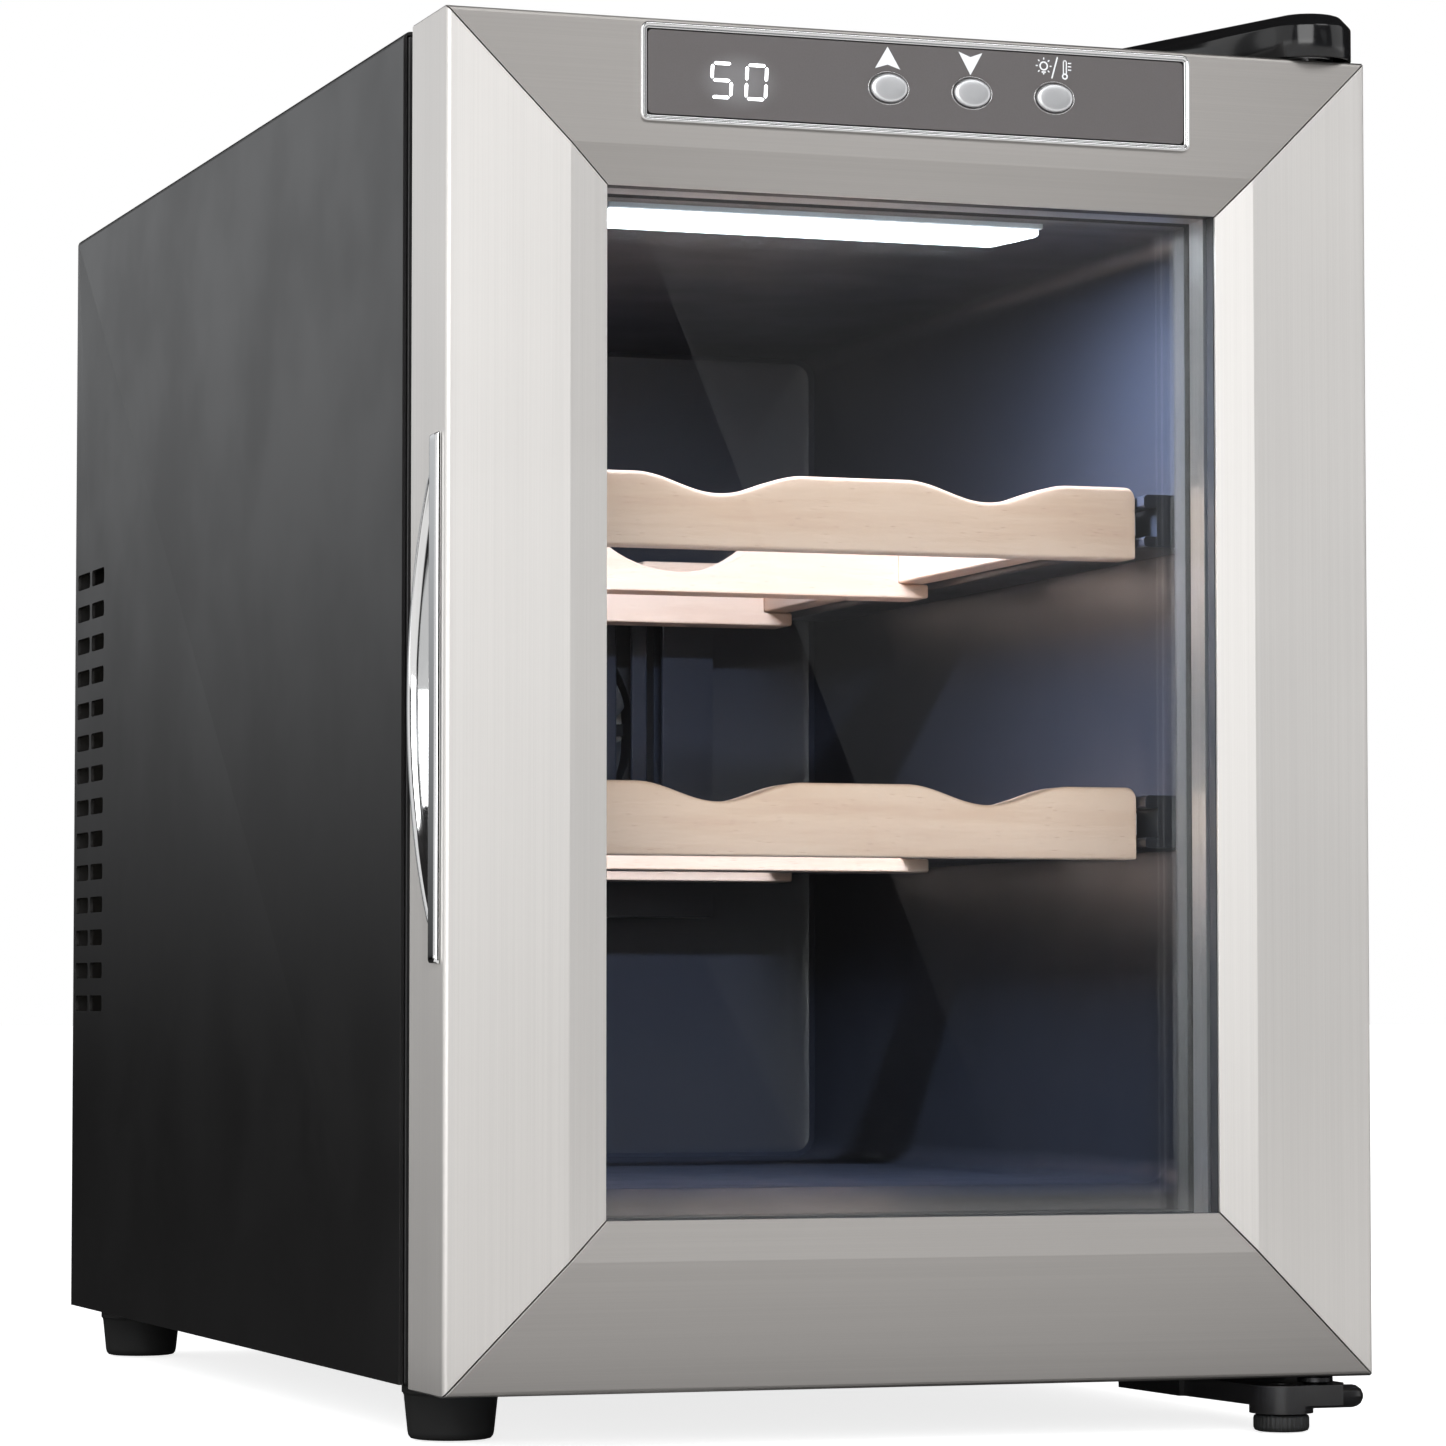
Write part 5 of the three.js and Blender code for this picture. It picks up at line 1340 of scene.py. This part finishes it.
@dataclass
class ControlPanel:
    """The bezel, the printed face with its lit digits and marks, and the three oval buttons."""

    area: tuple[float, float, float, float] = (-77.75, 77.75, 343.0, 369.0)
    face_front: float = -0.5
    button_size: tuple[float, float] = (10.4, 7.7)
    digits_at: tuple[float, float] = (-50.7, 354.7)
    digit: tuple[float, float] = (5.4, 8.9)
    digit_pitch: float = 9.6
    lean: float = 0.05
    stroke_width: float = 0.85
    stroke_gap: float = 0.32
    printed_rise: float = 0.03
    icon_at: tuple[float, float] = (38.4, 363.5)

    def build(self, shop: Workshop) -> None:
        """Makes and dresses the panel."""
        self.bezel(shop)
        x, z = self.digits_at
        place = shop.datum.metres(np.array([x, 0.0, z]))
        face = PanelFace("panel_grey", glow_at=(round(float(place[0]), 5), round(float(place[2]), 5)))
        shop.softened("display_face", face, 0.12)
        shop.dress(WHITE_PLASTIC, "digit_module")
        shop.dress(CircuitBoard("circuit_green"), "control_board")
        self.digits(shop)
        self.marks(shop)
        for node in ("button_up", "button_down", "button_light"):
            self.button(shop, node)

    def bezel(self, shop: Workshop) -> None:
        """Carries a stepped, rounded section round the panel."""
        section = [
            (0.0, -0.3), (0.0, -0.62), (0.12, -0.85), (0.35, -0.98), (0.6, -0.98), (0.82, -0.86),
            (0.95, -0.66), (1.12, -0.62), (1.35, -0.66), (1.55, -0.62), (1.7, -0.45), (1.7, 0.9),
            (0.6, 0.9), (0.6, -0.3),
        ]
        shape = frame_sweep(self.area, 2.2, np.array(section), 8)
        finish = Plated("chrome", (0.86, 0.865, 0.87), 0.16)
        shop.piece("panel_bezel", shape, "door", finish, ("display_bezel",), 70.0)

    def digits(self, shop: Workshop) -> None:
        """A five and a nought, each made of pointed strokes that lean a little."""
        width, height = self.digit
        w, h = width / 2, height / 2
        strokes = {
            "a": ((-w, h), (w, h)),
            "b": ((w, h), (w, 0)),
            "c": ((w, 0), (w, -h)),
            "d": ((-w, -h), (w, -h)),
            "e": ((-w, 0), (-w, -h)),
            "f": ((-w, h), (-w, 0)),
            "g": ((-w, 0), (w, 0)),
        }
        shapes = []
        for middle, lit in ((-self.digit_pitch / 2, "afgcd"), (self.digit_pitch / 2, "abcdef")):
            for name in lit:
                start, end = (np.array(point, float) for point in strokes[name])
                gap = (end - start) / np.linalg.norm(end - start) * self.stroke_gap
                outline = stroke(tuple(start + gap), tuple(end - gap), self.stroke_width)
                outline[:, 0] += middle + self.lean * outline[:, 1] + self.digits_at[0]
                outline[:, 1] += self.digits_at[1]
                shapes.append(plate(outline, self.face_front - 0.05, self.face_front + 0.02))
        finish = Lit("white_plastic", (0.95, 0.98, 1.0), 3.2)
        shop.piece("lit_digits", Shape.joined(shapes), "door", finish)

    def marks(self, shop: Workshop) -> None:
        """Arrows up and down over two buttons, and a lamp and a thermometer over the third."""
        up = np.array([(0, 3.0), (3.55, -2.9), (0, -1.75), (-3.55, -2.9)])
        down = np.array([(0, -3.1), (-3.4, 3.0), (0, 1.7), (3.4, 3.0)])
        shapes = [self.mark(up, -9.2, 363.3), self.mark(down, 14.3, 363.2)]
        x, z = self.icon_at
        lamp, stem = x - 3.1, x + 3.0
        shapes.append(self.ring(1.25, 0.85, lamp, z + 0.3))
        shapes.append(self.mark(stroke((-0.7, 0), (0.7, 0), 0.45), lamp, z - 1.35))
        for turn in np.radians(np.arange(0, 360, 45)):
            ray = np.array([math.cos(turn), math.sin(turn)])
            outline = stroke(tuple(ray * 1.65), tuple(ray * 2.35), 0.34)
            shapes.append(self.mark(outline, lamp, z + 0.3))
        shapes.append(self.mark(stroke((-0.8, -3.0), (0.9, 3.0), 0.4), x, z))
        shapes.append(self.ring(0.85, 0.45, stem, z - 2.2))
        ends = [((side, -1.6), (side, 1.9)) for side in (-0.42, 0.42)]
        ends += [((-0.45, 2.0), (0.45, 2.0))]
        ends += [((0.8, level), (1.9, level)) for level in (-0.4, 0.5, 1.4)]
        shapes += [self.mark(stroke(start, end, 0.3), stem, z) for start, end in ends]
        shop.piece("panel_marks", Shape.joined(shapes), "door", INK)

    def mark(self, outline: np.ndarray, x: float, z: float) -> Shape:
        """An outline printed on the face about a point."""
        front, back = self.face_front - self.printed_rise, self.face_front + 0.02
        return plate(outline + np.array([x, z]), front, back)

    def ring(self, outer: float, inner: float, x: float, z: float) -> Shape:
        """A printed ring: two circles at the front and two behind, joined all round."""
        front, back = self.face_front - self.printed_rise, self.face_front + 0.02
        corners = ((outer, back), (outer, front), (inner, front), (inner, back))
        rows = [at_depth(arc(radius, 0, 360, 24, x, z)[:-1], depth) for radius, depth in corners]
        return Shape.grid(np.array(rows), loop_rows=True, loop_cols=True)

    def button(self, shop: Workshop, node: str) -> None:
        """An oval cap with a dished top and a rolled rim, on its flange, with a thin ring round it.

        The cap's height falls from its rim to its middle as 0.35 * (1 - r^2) for r the share of
        its radius.
        """
        low, high = shop.datum.span(node)
        x, z = (low[0] + high[0]) / 2, (low[2] + high[2]) / 2
        top = low[1]
        half_x, half_z = self.button_size[0] / 2, self.button_size[1] / 2
        steps = [(r, top + 0.42 - 0.42 * math.sqrt(max(0.0, 1 - r**4))) for r in np.linspace(0, 0.9, 9)]
        steps += [(0.95, top + 0.36), (0.985, top + 0.6), (1.0, top + 0.95), (1.0, 1.4)]
        steps += [(1.24, 1.4), (1.24, 3.4), (0.4, 3.4), (0.4, high[1]), (0.0, high[1])]
        turn = np.linspace(0, 2 * math.pi, 64, endpoint=False)
        cos, sin = np.cos(turn), np.sin(turn)
        rows = [
            at_depth(np.stack([x + half_x * r * cos, z + half_z * r * sin], -1), y) for r, y in steps
        ]
        shape = Shape.grid(np.array(rows), loop_cols=True)
        shop.piece(node + "_cap", shape, node, SATIN_CHROME, (node,), 40.0)
        ring = [(1.11, -0.49), (1.118, -0.6), (1.135, -0.64), (1.152, -0.6), (1.16, -0.49)]
        rows = []
        for r, y in ring:
            out_x, out_z = half_x + 3.9 * (r - 1), half_z + 3.9 * (r - 1)
            rows.append(at_depth(np.stack([x + out_x * cos, z + out_z * sin], -1), y))
        shape = Shape.grid(np.array(rows), loop_rows=True, loop_cols=True)
        shop.piece(node + "_ring", shape, "door", CHROME, crease=80.0)


# ---------------------------------------------------------------- shelves and lamp


@dataclass
class Shelf:
    """A beech shelf: a scalloped front bar, two slats, two rails and two moulded glides."""

    name: str
    pitch: float = 78.0
    dip: float = 5.4
    reach: float = 24.0
    edge: float = 1.1
    corner: float = 2.6

    def build(self, shop: Workshop) -> None:
        """Makes the front bar and softens the rest."""
        self.front_bar(shop)
        for node in ("mid_bar", "rear_bar"):
            shop.softened(f"{self.name}_{node}", BEECH_ACROSS, 0.8, 3, 40.0)
        for word in ("left", "right"):
            shop.softened(f"{self.name}_rail_{word}", BEECH_DEEP, 0.8, 3)
            shop.softened(f"{self.name}_glide_{word}", WHITE_PLASTIC, 0.5, 2)
            self.clip(shop, word)

    def front_bar(self, shop: Workshop) -> None:
        """Carries a rounded section along X under a scalloped top.

        The top lies dip * (1 + cos(pi * d / reach)) / 2 below its full height at a distance d
        under reach from a bottle's middle, and its two ends are rounded down as a quarter circle.
        """
        node = f"{self.name}_front_bar"
        low, high = shop.datum.span(node)
        c, e = self.corner, self.edge
        quarter = np.linspace(0, math.pi / 2, 9)
        ends = c * (1 - np.cos(quarter))
        inner = np.linspace(low[0] + c, high[0] - c, 221)
        x = np.concatenate([low[0] + ends[:-1], inner, high[0] - ends[::-1][1:]])
        away = np.minimum(np.abs(x - self.pitch / 2), np.abs(x + self.pitch / 2))
        scoop = self.dip * (1 + np.cos(np.pi * np.clip(away / self.reach, 0, 1))) / 2
        past = np.clip(np.maximum(low[0] + c - x, x - high[0] + c), 0, c)
        top = high[2] - scoop - (c - np.sqrt(c**2 - past**2))
        turn = np.linspace(0, math.pi / 2, 5)
        y0, y1, z0 = low[1], high[1], low[2]
        rise, lean = e * (1 - np.cos(turn)), e * (1 - np.sin(turn))
        fixed = [(y1 - e * 0.3, z0), (y0 + e * 0.5, z0), (y0, z0 + e * 0.5)]
        rows = []
        for at, crown in zip(x, top):
            front = [(y0 + r, crown - s) for r, s in zip(rise, lean)]
            back = [(y1 - r, crown - s) for r, s in zip(rise[::-1], lean[::-1])]
            loop = np.array(fixed + front + back + [(y1, z0 + e * 0.3)])
            rows.append(np.column_stack([np.full(len(loop), at), loop]))
        shape = Shape.grid(np.array(rows), loop_cols=True, capped=True)
        shop.piece(node + "_turned", shape, self.name, BEECH_ACROSS, (node,), 50.0)

    def clip(self, shop: Workshop, word: str) -> None:
        """The glide's pale nose beside the front bar: a rounded block with a domed front."""
        low, high = shop.datum.span(f"{self.name}_front_bar")
        side = -1.0 if word == "left" else 1.0
        x = (high[0] if side > 0 else low[0]) + side * 1.25
        z = low[2] + 9.9
        rows = []
        for share, y in ((0.0, 55.4), (0.75, 55.5), (1.0, 56.1), (1.0, 63.2), (0.0, 63.2)):
            w, h = 1.15 * share, 3.2 * share
            rows.append(at_depth(rounded_rect(x - w, x + w, z - h, z + h, 0.5 * share, 4), y))
        shape = Shape.grid(np.array(rows), loop_cols=True)
        shop.piece(f"{self.name}_clip_{word}", shape, self.name, WHITE_PLASTIC, crease=40.0)


@dataclass
class Lamp:
    """The lamp under the liner's roof: a housing, a board of six lamps and a rounded lens."""

    lamps: int = 6
    pitch: float = 18.33
    slope: float = 4.0
    power: float = 5.4

    def build(self, shop: Workshop) -> None:
        """Makes the lens and dresses the rest."""
        shop.softened("lamp_housing", WHITE_PLASTIC, 0.5, 3)
        shop.dress(CircuitBoard("circuit_green"), "lamp_board")
        low, high = shop.datum.span("lamp_lens")
        levels = [(0.0, high[2]), (0.0, low[2] + 0.9), (0.25, low[2] + 0.35), (0.9, low[2])]
        outlines = [self.outline(low, high, inward) for inward, _ in levels]
        shape = upright_outlines(outlines, [level for _, level in levels])
        middle, depth = (low[0] + high[0]) / 2, (low[1] + high[1]) / 2
        first = shop.datum.metres(np.array([middle - self.pitch * (self.lamps - 1) / 2, depth, 0.0]))
        finish = Lit(
            "lamp_lens", (0.87, 0.93, 1.0), 4.2, 18.0, round(float(first[0]), 5), self.pitch * MM,
            round(float(first[1]), 5),
        )
        shop.piece("lamp_lens_moulding", shape, "cabinet", finish, ("lamp_lens",), 40.0)
        self.glow(shop, low, high)

    def glow(self, shop: Workshop, low: np.ndarray, high: np.ndarray) -> None:
        """A flat light just under the lens, which the camera doesn't see."""
        data = bpy.data.lights.new("lamp_glow", "AREA")
        data.shape, data.energy, data.color = "RECTANGLE", self.power, (0.66, 0.78, 1.0)
        data.size, data.size_y = (high[0] - low[0]) * MM * 0.95, (high[1] - low[1]) * MM * 0.8
        light = bpy.data.objects.new("lamp_glow", data)
        middle = (low + high) / 2
        light.location = shop.datum.metres(np.array([middle[0], middle[1], low[2] - 0.6]))
        light.visible_camera = light.visible_glossy = light.visible_transmission = False
        bpy.context.scene.collection.objects.link(light)

    def outline(self, low: np.ndarray, high: np.ndarray, inward: float) -> np.ndarray:
        """The lens from above, narrower at its rear, its corners rounded by 2 mm arcs."""
        s, r = self.slope, 2.0
        left, right = low[0] + inward, high[0] - inward
        front, rear = low[1] + inward, high[1] - inward
        return np.concatenate(
            [
                arc(r, 180, 270, 6, left + r, front + r),
                arc(r, 270, 360, 6, right - r, front + r),
                arc(r, 0, 90, 6, right - s - r, rear - r),
                arc(r, 90, 180, 6, left + s + r, rear - r),
            ]
        )


# ---------------------------------------------------------------- cooling and power


@dataclass
class Fan:
    """A fan in its square frame: a hub with a dished face and twisted, cambered blades."""

    side: str
    hub: float
    tip: float
    blades: int = 7
    sweep: float = 0.5
    span: float = 0.8
    thickness: float = 1.3

    def build(self, shop: Workshop) -> None:
        """Softens the frame and makes the rotor."""
        shop.softened(f"{self.side}_fan_frame", BLACK_PLASTIC, 0.5, 3)
        node = f"{self.side}_fan_rotor"
        low, high = shop.datum.span(node)
        frame_low, frame_high = shop.datum.span(f"{self.side}_fan_frame")
        centre = ((frame_low[0] + frame_high[0]) / 2, (frame_low[2] + frame_high[2]) / 2)
        y0, y1 = low[1], high[1]
        profile = [
            (0, y0 + 0.5), (self.hub - 3.4, y0 + 0.5), (self.hub - 2.4, y0), (self.hub - 1.0, y0),
            (self.hub - 0.3, y0 + 0.3), (self.hub, y0 + 1.0), (self.hub, y1 - 0.6),
            (self.hub - 0.6, y1), (0, y1),
        ]
        shapes = [lathe(profile, centre, 64, along_y=True)]
        shapes += [self.blade(i, y0 + 0.6, y1 - 0.6, centre) for i in range(self.blades)]
        finish = Moulded("black_plastic", (0.016, 0.016, 0.017), 0.36)
        shop.piece(node + "_moulding", Shape.joined(shapes), node, finish, (node,), 45.0)

    def blade(self, index: int, y0: float, y1: float, centre: tuple[float, float]) -> Shape:
        """One blade: an aerofoil loop carried out from the hub to the tip.

        At radius r, a share q of the way out, and a share s from -1 to 1 along the blade, the
        angle is sweep * q + span * (1 - 0.25 q) * s / 2 and the depth runs from front to rear with
        s, less at the tip by 0.18 q, bowed by 0.09 * (1 - s^2) of the depth.
        """
        start = 2 * math.pi * index / self.blades
        reach = np.linspace(self.hub - 0.8, self.tip, 14)[:, None]
        q = (reach - reach[0]) / (reach[-1] - reach[0])
        turn = np.linspace(0, 2 * math.pi, 28, endpoint=False)[None, :]
        s = np.cos(turn)
        half = (y1 - y0) / 2
        fat = self.thickness / 2 * np.sin(turn) * np.sqrt(np.clip(1 - 0.6 * s**2, 0, 1))
        angle = start + self.sweep * q + self.span * (1 - 0.25 * q) * s / 2
        lift = 0.09 * 2 * half * (1 - s**2)
        depth = (y0 + y1) / 2 + s * half * (0.97 - 0.18 * q) - lift + fat * 0.8
        depth = np.clip(depth, y0 - 0.5, y1 + 0.5)
        angle = angle - fat * 0.6 / reach
        points = [centre[0] + reach * np.cos(angle), depth, centre[1] + reach * np.sin(angle)]
        return Shape.grid(np.stack(points, -1), loop_cols=True, capped=True)


@dataclass
class Cooling:
    """The cold and hot sides: fans, finned blocks, the module between them and the grille."""

    def build(self, shop: Workshop) -> None:
        """Makes and dresses the stack."""
        Fan("cold", 13.0, 36.0).build(shop)
        Fan("hot", 16.0, 42.0).build(shop)
        shop.softened("cold_fan_cover", LINER_PLASTIC, 0.7, 3)
        shop.softened("cold_heatsink", ALUMINIUM, 0.15)
        shop.softened("hot_heatsink", ALUMINIUM, 0.15)
        shop.dress(CERAMIC, "peltier_module")


@dataclass
class Power:
    """The mains inlet with its three pins, and the board that runs the cooler."""

    pin_width: float = 2.0
    pin_height: float = 4.0

    def build(self, shop: Workshop) -> None:
        """Softens the inlet, adds its pins and dresses the board."""
        shop.softened("power_inlet", BLACK_PLASTIC, 0.5, 3)
        low, high = shop.datum.span("power_inlet")
        x, z = (low[0] + high[0]) / 2, (low[2] + high[2]) / 2
        places = ((x - 7.0, z - 1.6), (x, z + 2.2), (x + 7.0, z - 1.6))
        for i, place in enumerate(places):
            self.pin(shop, f"inlet_pin_{i + 1}", place, high[1] - 15.8, high[1] - 1.4)
        board = shop.datum.span("power_board")[0][1] + 1.75
        depth = float(shop.datum.metres(np.array([0.0, board, 0.0]))[1])
        shop.dress(CircuitBoard("circuit_green", parts_from=round(depth, 5)), "power_board")

    def pin(
        self, shop: Workshop, name: str, place: tuple[float, float], y0: float, y1: float
    ) -> None:
        """A flat pin with rounded corners and a tapered tip."""
        (x, z), rows = place, []
        for share, y in ((1.0, y0), (1.0, y1 - 1.6), (0.93, y1 - 0.8), (0.7, y1 - 0.15), (0.45, y1)):
            w, h = self.pin_width / 2 * share, self.pin_height / 2 * share
            rows.append(at_depth(rounded_rect(x - w, x + w, z - h, z + h, 0.4 * share, 5), y))
        shape = Shape.grid(np.array(rows), loop_cols=True, capped=True)
        shop.piece(name, shape, "cabinet", BRASS, crease=40.0)


# ---------------------------------------------------------------- studio


@dataclass
class Studio:
    """The camera, the floor, the sky, the soft boxes and the cards. Lengths here are in metres.

    Reflections see their own room: the floor and the sky are nearly black in them, so that the
    steel, the paint and the glass mirror only the soft boxes and the cards.
    """

    eye: tuple[float, float, float] = (-0.50379, -1.51633, 0.11206)
    turn: tuple[float, float, float] = (math.pi / 2 + 0.05628, 0.0, -0.33329)
    lens: float = 131.99
    shift: tuple[float, float] = (0.0029, -0.0065)
    floor_half: float = 40.0
    floor_level: float = -0.0004
    card_depth: float = 1.5
    floor_dark: Colour = (0.02, 0.02, 0.02)
    floor_pale: Colour = (0.85, 0.84, 0.83)
    sky_soft: Colour = (0.42, 0.42, 0.42)
    sky_dark: Colour = (0.021, 0.02, 0.02)

    def build(self) -> None:
        """Sets up everything round the cooler."""
        self.camera()
        self.floor()
        self.sky()
        self.soft_box("left_box", -24.0, 2.7, 0.95, (1.9, 2.2), 3.9)
        self.soft_box("right_box", 60.0, 2.5, 0.95, (1.7, 2.2), 1.0)
        self.soft_box("high_box", 21.0, 2.4, 2.0, (1.3, 1.0), 3.0)
        self.soft_box("side_box", -98.0, 2.6, 1.1, (4.4, 2.4), 0.75)
        self.soft_box("fill_box", -8.0, 3.4, 0.9, (1.6, 1.2), 2.6, False)
        self.card("gradient_card", self.upright(-1.7, -0.25, -0.05, 0.9), (0.05, 0.62), (0.0, 0.72))
        self.card("rear_card", self.upright(-4.2, -2.0, 0.0, 1.6), (-2.0, -1.0), (0.0, 0.18))
        self.card("glass_card", self.slanted(), (0.02, 0.4), (0.06, 0.34))
        bpy.context.scene.view_settings.view_transform = "Standard"

    def upright(self, x0: float, x1: float, z0: float, z1: float) -> np.ndarray:
        """The corners of an upright card behind the cooler."""
        y = self.card_depth
        return np.array([(x0, y, z0), (x1, y, z0), (x1, y, z1), (x0, y, z1)])

    def slanted(self) -> np.ndarray:
        """The card that the window mirrors: its left edge leans, so half the window stays dark.

        A point of the window at (x, z) mirrors the point where the line from the mirrored eye
        through it meets the card's plane.
        """
        plane, far = -0.2137, -2.1
        behind = np.array([self.eye[0], 2 * plane - self.eye[1], self.eye[2]])
        edge = np.array([(-0.079, plane, 0.330), (0.0335, plane, 0.055)])
        slope = (edge[1] - edge[0]) / (edge[1][2] - edge[0][2])
        ends = np.array([edge[0] + slope * 0.12, edge[1] - slope * 0.12])
        right = np.array([(0.16, plane, ends[1][2]), (0.16, plane, ends[0][2])])
        corners = np.array([ends[0], ends[1], right[0], right[1]])
        share = (far - behind[1]) / (corners[:, 1:2] - behind[1])
        return behind + (corners - behind) * share

    def camera(self) -> None:
        """A long lens from the left and low down."""
        data = bpy.data.cameras.new("camera")
        data.lens, data.sensor_width = self.lens, 36.0
        data.shift_x, data.shift_y = self.shift
        data.clip_start, data.clip_end = 0.05, 50.0
        camera = bpy.data.objects.new("camera", data)
        camera.location, camera.rotation_euler = self.eye, self.turn
        bpy.context.scene.collection.objects.link(camera)
        bpy.context.scene.camera = camera

    def floor(self) -> None:
        """A wide pale floor, nearly black in reflections."""
        r, level = self.floor_half, self.floor_level
        corners = [(-r, -r, level), (r, -r, level), (r, r, level), (-r, r, level)]
        floor = self.sheet("floor", np.array(corners))
        w = self.wiring(floor)
        grain = w.noise(w.object_place(), 120.0, 3.0)
        path = w.add("LightPath")
        shader = w.add("BsdfPrincipled", {"Base Color": opaque((0.93, 0.93, 0.93)), "Roughness": 0.9})
        w.tree.links.new(w.bump(grain, 0.0004, 0.2), shader.inputs["Normal"])
        shader.inputs["Emission Color"].default_value = opaque(WHITE)
        lift = w.math("MULTIPLY", path.outputs["Is Camera Ray"], 0.8)
        w.tree.links.new(lift, shader.inputs["Emission Strength"])
        place = w.add("SeparateXYZ", {0: w.object_place()})
        front = w.between(place.outputs["Y"], -0.32, -0.24, 0.95, 0.0)
        far = w.between(place.outputs["Y"], -2.2, -1.6, 0.0, 1.0)
        left = w.between(place.outputs["X"], -1.9, -1.4, 1.0, 0.0)
        beside = w.between(place.outputs["X"], -0.45, -0.2, 1.0, 0.0)
        near = w.math("MULTIPLY", beside, w.between(place.outputs["Y"], 0.0, 0.2, 1.0, 0.0))
        pale = w.math("MAXIMUM", w.math("MULTIPLY", front, far), w.math("MAXIMUM", left, near))
        glow = w.mixed(pale, opaque(self.floor_dark), opaque(self.floor_pale))
        dark = w.add("Emission", {"Color": glow})
        inputs = {0: path.outputs["Is Glossy Ray"], 1: shader.outputs[0], 2: dark.outputs[0]}
        mix = w.add("MixShader", inputs)
        w.add("OutputMaterial", {"Surface": mix.outputs[0]})

    def sky(self) -> None:
        """White to the camera, a soft grey to diffuse light, and nearly black in reflections."""
        world = bpy.data.worlds.new("studio")
        world.use_nodes = True
        world.node_tree.nodes.clear()
        w = Wiring(world.node_tree)
        path = w.add("LightPath")
        room = opaque(self.sky_soft), opaque(self.sky_dark)
        level = w.mixed(path.outputs["Is Glossy Ray"], *room)
        colour = w.mixed(path.outputs["Is Camera Ray"], level, opaque(WHITE))
        ground = w.add("Background", {"Color": colour, "Strength": 1.0})
        w.add("OutputWorld", {"Surface": ground.outputs[0]})
        bpy.context.scene.world = world

    def sheet(self, name: str, corners: np.ndarray) -> bpy.types.Object:
        """A flat stage piece with four corners and an empty material."""
        mesh = bpy.data.meshes.new(name)
        mesh.from_pydata(corners, [], [(0, 1, 2, 3)])
        made = bpy.data.objects.new(name, mesh)
        bpy.context.scene.collection.objects.link(made)
        material = bpy.data.materials.new(name + "_paper")
        material.use_nodes = True
        material.node_tree.nodes.clear()
        mesh.materials.append(material)
        return made

    def wiring(self, made: bpy.types.Object) -> Wiring:
        """The wiring of a stage piece's material."""
        return Wiring(made.data.materials[0].node_tree)

    def card(
        self, name: str, corners: np.ndarray, heights: tuple[float, float], levels: tuple[float, float]
    ) -> None:
        """A glowing card that only reflections see.

        Args:
            name: Its name.
            corners: Its four corners.
            heights: Heights between which its glow changes.
            levels: The glow at and below the first height, and at and above the second.
        """
        card = self.sheet(name, corners)
        w = self.wiring(card)
        height = w.add("SeparateXYZ", {0: w.object_place()}).outputs["Z"]
        glow = w.between(height, *heights, *levels)
        light = w.add("Emission", {"Color": opaque((0.96, 0.98, 1.0)), "Strength": glow})
        w.add("OutputMaterial", {"Surface": light.outputs[0]})
        card.visible_camera = card.visible_diffuse = False
        card.visible_shadow = card.visible_transmission = False

    def soft_box(
        self,
        name: str,
        bearing: float,
        away: float,
        height: float,
        size: tuple[float, float],
        level: float,
        mirrored: bool = True,
    ) -> None:
        """A soft box that faces the cooler.

        Args:
            name: Its name.
            bearing: Degrees round from straight in front, positive to the right.
            away: Its distance from the cooler.
            height: The height of its middle.
            size: Its width and height.
            level: Its radiance; an area light's power is pi times its area times that.
            mirrored: Whether reflections show it.
        """
        turn = math.radians(bearing)
        at = Vector((away * math.sin(turn), -away * math.cos(turn), height))
        data = bpy.data.lights.new(name, "AREA")
        data.shape, data.size, data.size_y = "RECTANGLE", *size
        data.energy = level * math.pi * size[0] * size[1]
        light = bpy.data.objects.new(name, data)
        light.location = at
        light.rotation_euler = (Vector((0.0, 0.0, 0.2)) - at).to_track_quat("-Z", "Y").to_euler()
        light.visible_camera, light.visible_glossy = False, mirrored
        bpy.context.scene.collection.objects.link(light)


def main() -> None:
    """Builds the cooler round its frame, then the studio."""
    logging.basicConfig(level=logging.INFO, format="%(message)s")
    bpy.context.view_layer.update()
    shop = Workshop(Datum.of_frame())
    assemblies = [Cabinet(), Liner(), Hinges(), Door(), ControlPanel(), Shelf("lower_shelf")]
    assemblies += [Shelf("upper_shelf"), Lamp(), Cooling(), Power()]
    for assembly in assemblies:
        assembly.build(shop)
    Studio().build()
    bpy.context.view_layer.update()


if __name__ == "__main__":
    main()
